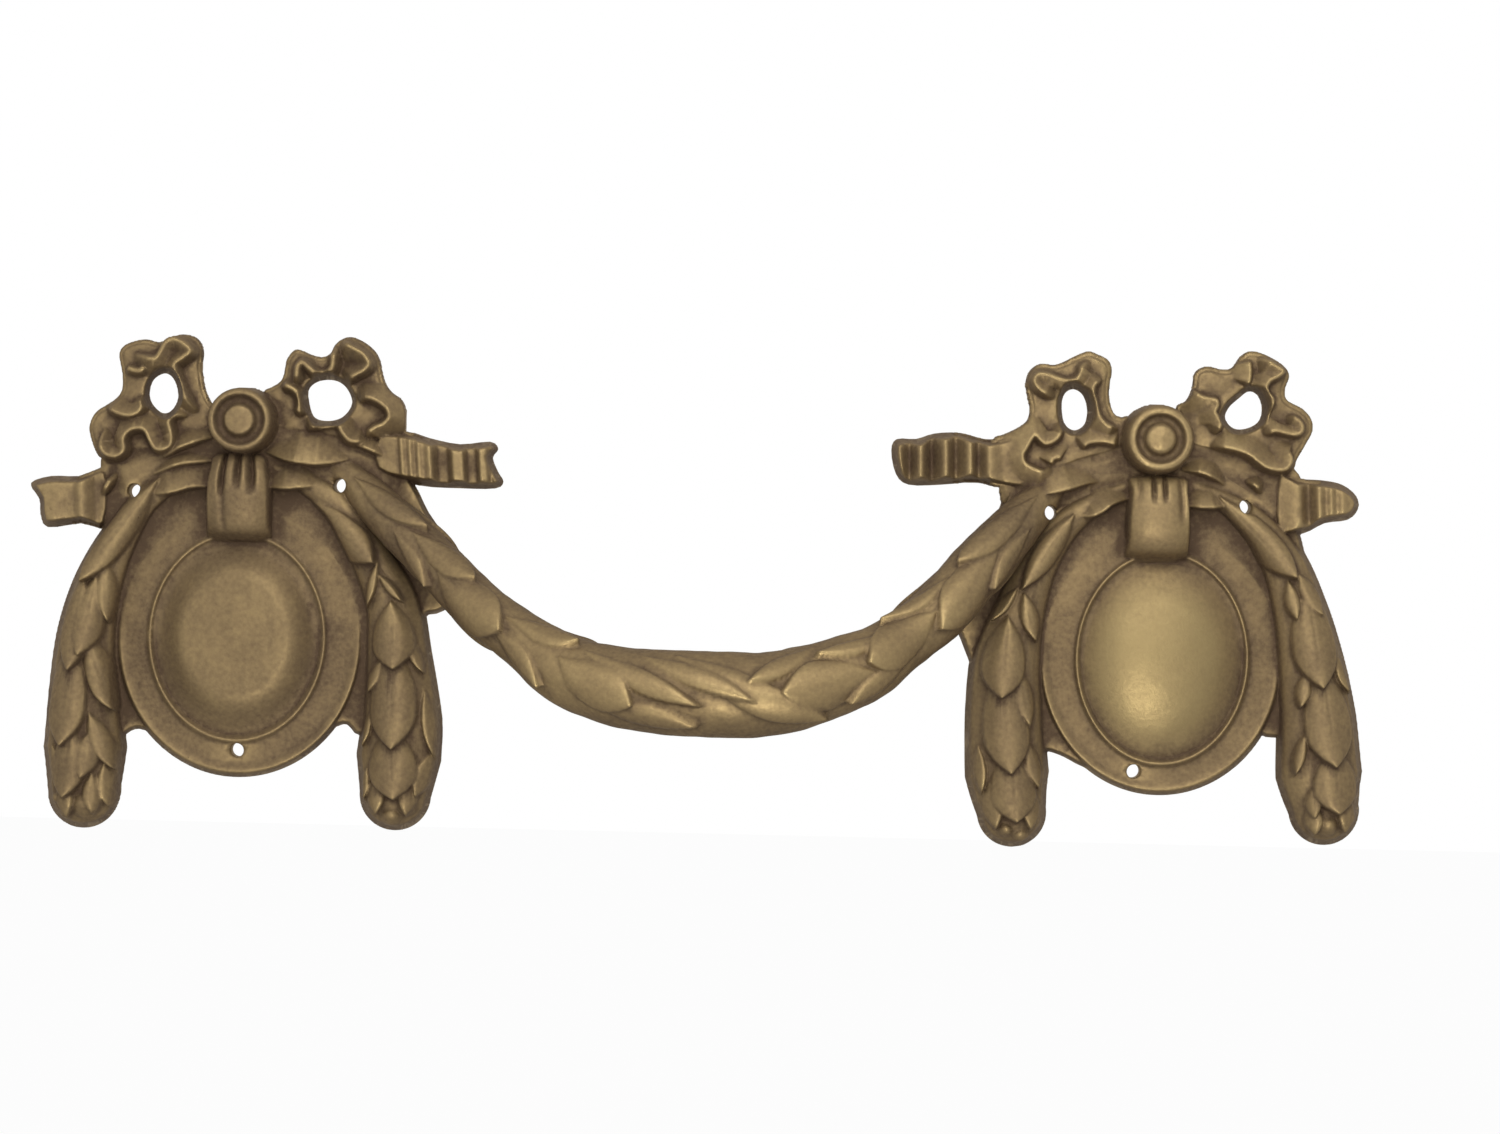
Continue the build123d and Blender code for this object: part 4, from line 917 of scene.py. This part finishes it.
studio = dict(
    ambient=0.47,  # world light on the object, of 1 for white
    floor={"Base Color": (0.82, 0.82, 0.82, 1), "Roughness": 0.9, "Specular IOR Level": 0.0},
    floorHeight=-0.32,
    floorWhite=0.96,  # share of the floor that the camera and gloss see as plain white
    lamps=[  # name, place, aimed at, size, watts, colour
        ("key", (0.04, -0.32, 0.22), (0.03, 0, 0.03), 0.30, 0.80, (1.0, 0.98, 0.94)),
        ("fill", (-0.45, -0.55, 0.20), (0, 0, 0.03), 0.5, 0.4, (1.0, 1.0, 1.0)),
        ("window", (0.02, -0.40, -0.16), (0.05, 0, 0.02), 0.14, 0.85, (1.0, 0.98, 0.90)),  # gloss only
    ],
)


# Share of the rays that see plain white: straight from the camera, in a reflection or through glass
def seenWhite(tree):
    path = tree.nodes.new("ShaderNodeLightPath")
    seen = mathNode(tree, "MAXIMUM", path.outputs["Is Camera Ray"], path.outputs["Is Glossy Ray"])
    return mathNode(tree, "MAXIMUM", seen, path.outputs["Is Transmission Ray"])


def makeStudio(form):
    world = bpy.data.worlds.new("studio")
    bpy.context.scene.world = world
    world.use_nodes = True
    tree = world.node_tree
    background = tree.nodes["Background"]
    background.inputs["Color"].default_value = (1, 1, 1, 1)
    strength = mathNode(tree, "MULTIPLY_ADD", seenWhite(tree), 1 - form["ambient"], form["ambient"])
    link(tree, strength, background.inputs["Strength"])

    material = bpy.data.materials.new("paleFloor")
    material.use_nodes = True
    tree = material.node_tree
    shader = tree.nodes["Principled BSDF"]
    setInputs(shader, form["floor"])
    white = tree.nodes.new("ShaderNodeEmission")
    mix = tree.nodes.new("ShaderNodeMixShader")
    link(tree, mathNode(tree, "MULTIPLY", seenWhite(tree), form["floorWhite"]), mix.inputs["Fac"])
    link(tree, shader.outputs["BSDF"], mix.inputs[1])
    link(tree, white.outputs["Emission"], mix.inputs[2])
    link(tree, mix.outputs["Shader"], tree.nodes["Material Output"].inputs["Surface"])
    reach, z = 3.0, form["floorHeight"]
    corners = np.array([(-reach, -reach, z), (reach, -reach, z), (reach, reach, z), (-reach, reach, z)])
    floor = meshPiece("floor", corners, np.array([[0, 1, 2, 3]]))
    floor.data.materials.append(material)

    for name, place, aim, size, watts, colour in form["lamps"]:
        lamp = bpy.data.lights.new(name, "AREA")
        lamp.energy = watts
        lamp.size = size
        lamp.color = colour
        lampObject = addObject(name, lamp)
        lampObject.location = place
        lampObject.visible_diffuse = name != "window"
        lampObject.rotation_euler = (Vector(aim) - Vector(place)).to_track_quat("-Z", "Y").to_euler()


makeStudio(studio)
bpy.context.scene.view_settings.view_transform = "Standard"
